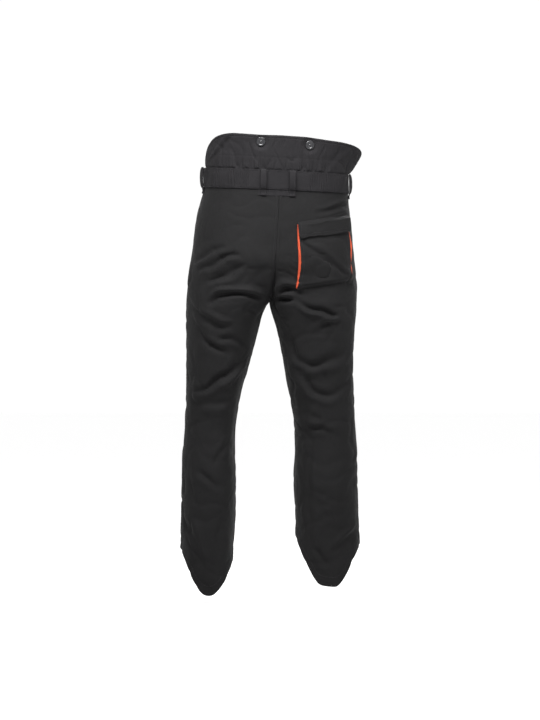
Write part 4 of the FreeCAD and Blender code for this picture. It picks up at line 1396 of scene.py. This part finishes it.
def build_gusset():
    piece = joined([gusset_side(0.0, 1), gusset_side(1.0, -1), gusset_foot()], "pocket_gusset")
    dress(piece, ORANGE, "back_pocket_gusset")


def flap_stand(height):
    return 1.0 * MM + FLAP_STAND * smooth((FLAP_TOP - height) / FLAP_RUN)


def flap_slack(s, height):
    free = smooth((FLAP_TOP - height) / 0.03)
    wave = 0.9 * np.sin(s * 8.2 + 0.7) + 0.5 * np.sin(s * 19.0)
    fold = 1.1 * bump_at(height - 0.151 + 0.008 * np.sin(s * 5), 0, 0.003)
    return (wave * free + fold * smooth((s - 0.1) / 0.2) * smooth((0.95 - s) / 0.2)) * MM


def build_flap():
    share = spaced(FLAP_WIDTH, [0, 0.4, 1.0, 2.0, 3.2, 4.6, 6.5, 8.5], 0.0026)[:, None]
    t = [0, 0.01, 0.025, 0.05, *np.linspace(0.08, 0.95, 34), 0.97, 0.985, 1.0]
    t = np.array(t)[None, :]
    s = lerp(FLAP_START, FLAP_END, share)
    head = FLAP_TOP + FLAP_RISE * s**2
    foot = FLAP_TOP - FLAP_HEIGHT + rounded_ends(share, FLAP_WIDTH, 0.009)
    foot = foot + 0.0012 * np.sin(share * 7)
    height = lerp(foot, head, t)
    edge = np.minimum(np.minimum(share, 1 - share) * FLAP_WIDTH, t * FLAP_HEIGHT)
    round_off = rolled(edge, 1.3 * MM)
    base = flap_stand(height) + flap_slack(s, height)
    groove = bump_at(edge, 2.6 * MM, 0.8 * MM) + bump_at(edge, 8.2 * MM, 0.8 * MM)
    face = base + (0.9 + 0.9 * round_off) * MM - 0.35 * MM * groove
    under = base + 0.8 * MM * (1 - round_off)
    flap = slab("pocket_flap", pocket(s, height, face), pocket(s, height, under))
    dress(flap, SHELL, "back_pocket_flap", body="pocket_flap")
    for inset in (2.6 * MM, 8.2 * MM):
        sew_flap_edge(inset)
    way = np.linspace(FLAP_START + 0.005, 1.03, 120)
    head = FLAP_TOP + FLAP_RISE * way**2 - 0.0025
    sew_on(pocket, way, head, flap_stand(head) + flap_slack(way, head) + 1.85 * MM)


def sew_flap_edge(inset):
    """Stitches down one end of the flap, along its foot and up the other end."""
    ends = inset / POCKET_WIDTH
    start, stop = FLAP_START + ends, FLAP_END - ends
    low = FLAP_TOP - FLAP_HEIGHT + inset + 0.0006
    fall = np.linspace(FLAP_TOP - 0.003, low, 40)
    way = np.concatenate([np.full(40, start), np.linspace(start, stop, 120), np.full(40, stop)])
    drop = np.concatenate([fall, np.full(120, low), np.linspace(low, FLAP_TOP - 0.003, 40)])
    level = flap_stand(drop) + flap_slack(way, drop) + 1.75 * MM
    sew_on(pocket, way, drop, level, group="pocket_flap")


def tape_strip(name, reach, levels, stand, low, high):
    """A strip of touch tape between two distances from a part of the pocket."""
    s = np.linspace(*reach, 60)[:, None]
    height = np.linspace(*levels, 20)[None, :]
    base = stand(s, height)
    return slab(name, pocket(s, height, base + low), pocket(s, height, base + high))


def build_touch_tapes():
    def on_front(s, height):
        return pocket_stand(height) + 0 * s

    def under_flap(s, height):
        return flap_stand(height) + flap_slack(s, height)

    soft = tape_strip("touch_tape_loops", (0.3, 0.7), (0.117, 0.134), on_front, 2.2 * MM, 1.55 * MM)
    dress(soft, TAPE, "pocket_loop_tape")
    hooks = tape_strip(
        "touch_tape_hooks", (0.32, 0.68), (0.118, 0.133), under_flap, -0.1 * MM, -0.8 * MM
    )
    dress(hooks, TAPE, "flap_hook_tape", body="pocket_flap")


# ---- metal parts that keep their CAD form ----------------------------------
def finish_hardware():
    metals = [
        (BUTTON, ("brace_button_tacks",)),
        (BRASS, ("zip_teeth_left", "zip_teeth_right", "zip_top_stops", "zip_bottom_stop")),
        (BRASS, ("zip_slider", "zip_pull_tab")),
        (SNAP, ("waist_snap_cap", "waist_snap_socket", "waist_snap_stud", "waist_snap_back_plate")),
    ]
    for material, nodes in metals:
        for node in nodes:
            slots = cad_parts[node].data.materials
            slots.clear()
            slots.append(material)


# ---- materials -------------------------------------------------------------
class Nodes:
    """A short way to wire up a material."""

    def __init__(self, name):
        self.material = bpy.data.materials.new(name)
        self.material.use_nodes = True
        self.tree = self.material.node_tree
        self.shader = self.tree.nodes["Principled BSDF"]

    def add(self, kind, **settings):
        node = self.tree.nodes.new(kind)
        for key, value in settings.items():
            if key in node.inputs:
                node.inputs[key].default_value = value
            else:
                setattr(node, key, value)
        return node

    def set_shader(self, values):
        for key, value in values.items():
            self.shader.inputs[key].default_value = value

    def link(self, source, target):
        self.tree.links.new(source, target)

    def math(self, operation, a, b=None):
        node = self.add("ShaderNodeMath", operation=operation)
        for k, value in enumerate((a, b)):
            if value is None:
                continue
            if isinstance(value, (int, float)):
                node.inputs[k].default_value = value
            else:
                self.link(value, node.inputs[k])
        return node.outputs[0]

    def noise(self, scale, detail=3.0, source=None):
        node = self.add("ShaderNodeTexNoise", Scale=scale, Detail=detail)
        self.link(source or self.place(), node.inputs["Vector"])
        return node.outputs["Fac"]

    def place(self):
        if not hasattr(self, "coordinates"):
            self.coordinates = self.add("ShaderNodeTexCoord")
        return self.coordinates.outputs["Object"]

    def ramp(self, source, stops):
        node = self.add("ShaderNodeValToRGB")
        ramp = node.color_ramp
        for k, (position, colour) in enumerate(stops):
            element = ramp.elements[k] if k < 2 else ramp.elements.new(position)
            element.position = position
            element.color = (*colour, 1)
        self.link(source, node.inputs[0])
        return node.outputs[0]


MOTTLE = 0.16               # how much the cloth's tone varies


def shade(colour, factor):
    return tuple(min(1.0, c * factor) for c in colour)


def weave(nodes, pitch, twill):
    """Height of a woven cloth's yarns, from its own grain."""
    nodes.place()
    split = nodes.add("ShaderNodeSeparateXYZ")
    nodes.link(nodes.coordinates.outputs["UV"], split.inputs[0])
    across = nodes.math("MULTIPLY", split.outputs[0], 2 * math.pi / pitch)
    along = nodes.math("MULTIPLY", split.outputs[1], 2 * math.pi / pitch)
    if twill:
        return nodes.math("SINE", nodes.math("ADD", across, along))
    return nodes.math("MULTIPLY", nodes.math("SINE", across), nodes.math("SINE", along))


def cloth_material(name, colour, pitch=0.0011, depth=0.00022, rough=0.80, gloss=0.10, twill=False):
    """Woven cloth: an uneven tone, painted shade in the gaps between the yarns, and a little slack."""
    nodes = Nodes(name)
    wide = nodes.noise(9.0, 4.0)
    fine = nodes.noise(420.0, 2.0)
    yarn = weave(nodes, pitch, twill)
    tone = nodes.math("ADD", nodes.math("MULTIPLY", wide, 0.7), nodes.math("MULTIPLY", fine, 0.3))
    base = nodes.ramp(tone, [(0.3, shade(colour, 1 - MOTTLE)), (0.7, shade(colour, 1 + MOTTLE))])
    # painted shade: the colour is darkened where the yarns' height is low, in the gaps between them
    yarn_shade_multiply = nodes.add("ShaderNodeMixRGB", blend_type="MULTIPLY", Fac=0.22)
    nodes.link(base, yarn_shade_multiply.inputs[1])
    lifted = nodes.math("MULTIPLY_ADD", yarn, 0.5)
    gap = nodes.ramp(lifted, [(0.0, (0.45, 0.45, 0.45)), (0.6, (1, 1, 1))])
    nodes.link(gap, yarn_shade_multiply.inputs[2])
    nodes.link(yarn_shade_multiply.outputs[0], nodes.shader.inputs["Base Color"])
    uneven = nodes.math("ADD", nodes.math("MULTIPLY", fine, 0.16), rough - 0.08)
    nodes.link(uneven, nodes.shader.inputs["Roughness"])
    nodes.set_shader({"Sheen Weight": 0.02, "Sheen Roughness": 0.45, "Specular IOR Level": gloss})
    height = nodes.math("ADD", nodes.math("MULTIPLY", yarn, 0.5), nodes.math("MULTIPLY", fine, 0.8))
    bump = nodes.add("ShaderNodeBump", Strength=0.55, Distance=depth)
    nodes.link(height, bump.inputs["Height"])
    slack = nodes.add("ShaderNodeBump", Strength=0.5, Distance=0.0016)
    nodes.link(nodes.noise(85.0, 4.0), slack.inputs["Height"])
    nodes.link(bump.outputs[0], slack.inputs["Normal"])
    nodes.link(slack.outputs[0], nodes.shader.inputs["Normal"])
    return nodes.material


def metal_material(name, colour, rough, metallic=1.0, coat=0.0, marks_depth=0.0001):
    """Rubbed metal or paint, with fine marks."""
    nodes = Nodes(name)
    marks = nodes.noise(900.0, 3.0)
    patina = nodes.noise(160.0, 4.0)
    base = nodes.ramp(patina, [(0.35, shade(colour, 0.7)), (0.65, shade(colour, 1.15))])
    nodes.link(base, nodes.shader.inputs["Base Color"])
    nodes.set_shader({"Metallic": metallic, "Coat Weight": coat, "Coat Roughness": 0.06})
    rub = nodes.math("ADD", nodes.math("MULTIPLY", marks, 0.18), rough)
    nodes.link(rub, nodes.shader.inputs["Roughness"])
    bump = nodes.add("ShaderNodeBump", Strength=0.15, Distance=marks_depth)
    nodes.link(marks, bump.inputs["Height"])
    nodes.link(bump.outputs[0], nodes.shader.inputs["Normal"])
    return nodes.material


SHELL = cloth_material("shell_cloth", (0.0078, 0.0076, 0.0079))
BAND = cloth_material("band_cloth", (0.0105, 0.0099, 0.0109))
LINING = cloth_material("lining_cloth", (0.020, 0.020, 0.022), pitch=0.0008, rough=0.6, gloss=0.2)
PAD = cloth_material("pad_fibre", (0.62, 0.61, 0.55), pitch=0.004, depth=0.0009, twill=True)
ELASTIC = cloth_material("elastic", (0.018, 0.018, 0.018), pitch=0.0016, depth=0.0005, twill=True)
ORANGE = cloth_material("gusset_cloth", (0.42, 0.060, 0.024), pitch=0.0012, rough=0.6, gloss=0.2)
TAPE = cloth_material("touch_tape", (0.014, 0.014, 0.014), pitch=0.0016, depth=0.0010, rough=0.95)
ZIP_TAPE = cloth_material("zip_tape", (0.016, 0.016, 0.017), pitch=0.0010, depth=0.0004)
THREAD = cloth_material("sewing_thread", (0.020, 0.019, 0.021), pitch=0.0006, rough=0.5, twill=True)
BUTTON = metal_material(
    "button_metal", (0.008, 0.008, 0.010), 0.20, metallic=0.0, coat=0.25, marks_depth=0.00002
)
SNAP = metal_material("snap_metal", (0.12, 0.12, 0.125), 0.28)
BRASS = metal_material("zip_metal", (0.55, 0.42, 0.20), 0.30)

PIECES = [
    build_panels, build_linings, build_hem_facings, build_pads, build_waistband, build_kidney_panel,
    build_buttons, build_belt_loops, build_base_strip, build_fly_cover, build_waist_tab,
    build_fly_inside, build_pocket, build_gusset, build_flap, build_touch_tapes,
    sew_trousers, build_thread, finish_hardware,
]
for build in PIECES:
    build()


# ---- the room --------------------------------------------------------------
FLOOR_GAP = 0.012
FLOOR_REACH = 9.0
FLOOR_GLOW = 0.95           # lit from below, like a light table


def add_light(name, place, target, size, power):
    data = bpy.data.lights.new(name, "AREA")
    data.shape = "RECTANGLE"
    data.size, data.size_y = size
    data.energy = power
    aimed(bpy.data.objects.new(name, data), place, target)


def aimed(thing, place, target):
    """Put a light or the camera at a place, facing a target."""
    thing.location = place
    thing.rotation_mode = "QUATERNION"
    thing.rotation_quaternion = (Vector(target) - Vector(place)).to_track_quat("-Z", "Y")
    return linked(thing)


def build_room():
    floor_z = CAD_BOX[0][2] - FLOOR_GAP
    nodes = Nodes("studio_floor")
    tone = nodes.ramp(nodes.noise(3.0, 2.0), [(0.3, (0.27, 0.27, 0.27)), (0.7, (0.30, 0.30, 0.30))])
    nodes.link(tone, nodes.shader.inputs["Base Color"])
    nodes.set_shader({"Roughness": 0.9, "Emission Color": (1, 1, 1, 1), "Emission Strength": FLOOR_GLOW})
    signs = [(-1, -1), (1, -1), (1, 1), (-1, 1)]
    corners = [(x * FLOOR_REACH, y * FLOOR_REACH, floor_z) for x, y in signs]
    mesh = bpy.data.meshes.new("studio_floor")
    mesh.from_pydata(corners, [], [(0, 1, 2, 3)])
    mesh.materials.append(nodes.material)
    linked(bpy.data.objects.new("studio_floor", mesh))
    bpy.context.scene.world = studio_world()
    add_light("overhead", (-0.2, 1.4, 2.0), (0.0, 0.25, -0.6), (2.2, 1.4), 16)
    add_light("top", (0.1, 0.95, 0.92), (0.0, 0.1, -0.10), (1.5, 0.4), 66)
    add_light("key", (-2.2, 2.3, 0.6), (0, 0, -0.25), (0.5, 1.6), 15)
    add_light("front", (-0.2, -1.3, 1.05), (0.0, -0.1, -0.25), (1.5, 0.6), 80)


def studio_world():
    """A pale horizon under a dim ceiling."""
    world = bpy.data.worlds.new("studio")
    world.use_nodes = True
    tree = world.node_tree
    place = tree.nodes.new("ShaderNodeTexCoord")
    split = tree.nodes.new("ShaderNodeSeparateXYZ")
    ramp = tree.nodes.new("ShaderNodeMapRange")
    for key, value in {"From Min": 0.13, "From Max": 0.30, "To Min": 1.02, "To Max": 0.02}.items():
        ramp.inputs[key].default_value = value
    tree.links.new(place.outputs["Generated"], split.inputs[0])
    tree.links.new(split.outputs[2], ramp.inputs["Value"])
    tree.nodes["Background"].inputs[0].default_value = (1, 1, 1, 1)
    tree.links.new(ramp.outputs[0], tree.nodes["Background"].inputs[1])
    return world


CAMERA_DISTANCE = 7.5
CAMERA_AIM = (0.017, 0.0, -0.452)
CAMERA_HEIGHT = -0.20
FRAME_HEIGHT = 1.7297       # what the picture shows at the middle of the garment
SENSOR = 36.0


def build_camera():
    data = bpy.data.cameras.new("camera")
    data.sensor_fit = "VERTICAL"
    data.sensor_height = SENSOR
    data.lens = SENSOR / 2 / (FRAME_HEIGHT / 2 / CAMERA_DISTANCE)
    place = (CAMERA_AIM[0], CAMERA_DISTANCE, CAMERA_HEIGHT)
    bpy.context.scene.camera = aimed(bpy.data.objects.new("camera", data), place, CAMERA_AIM)


build_room()
build_camera()
bpy.context.scene.view_settings.view_transform = "Standard"
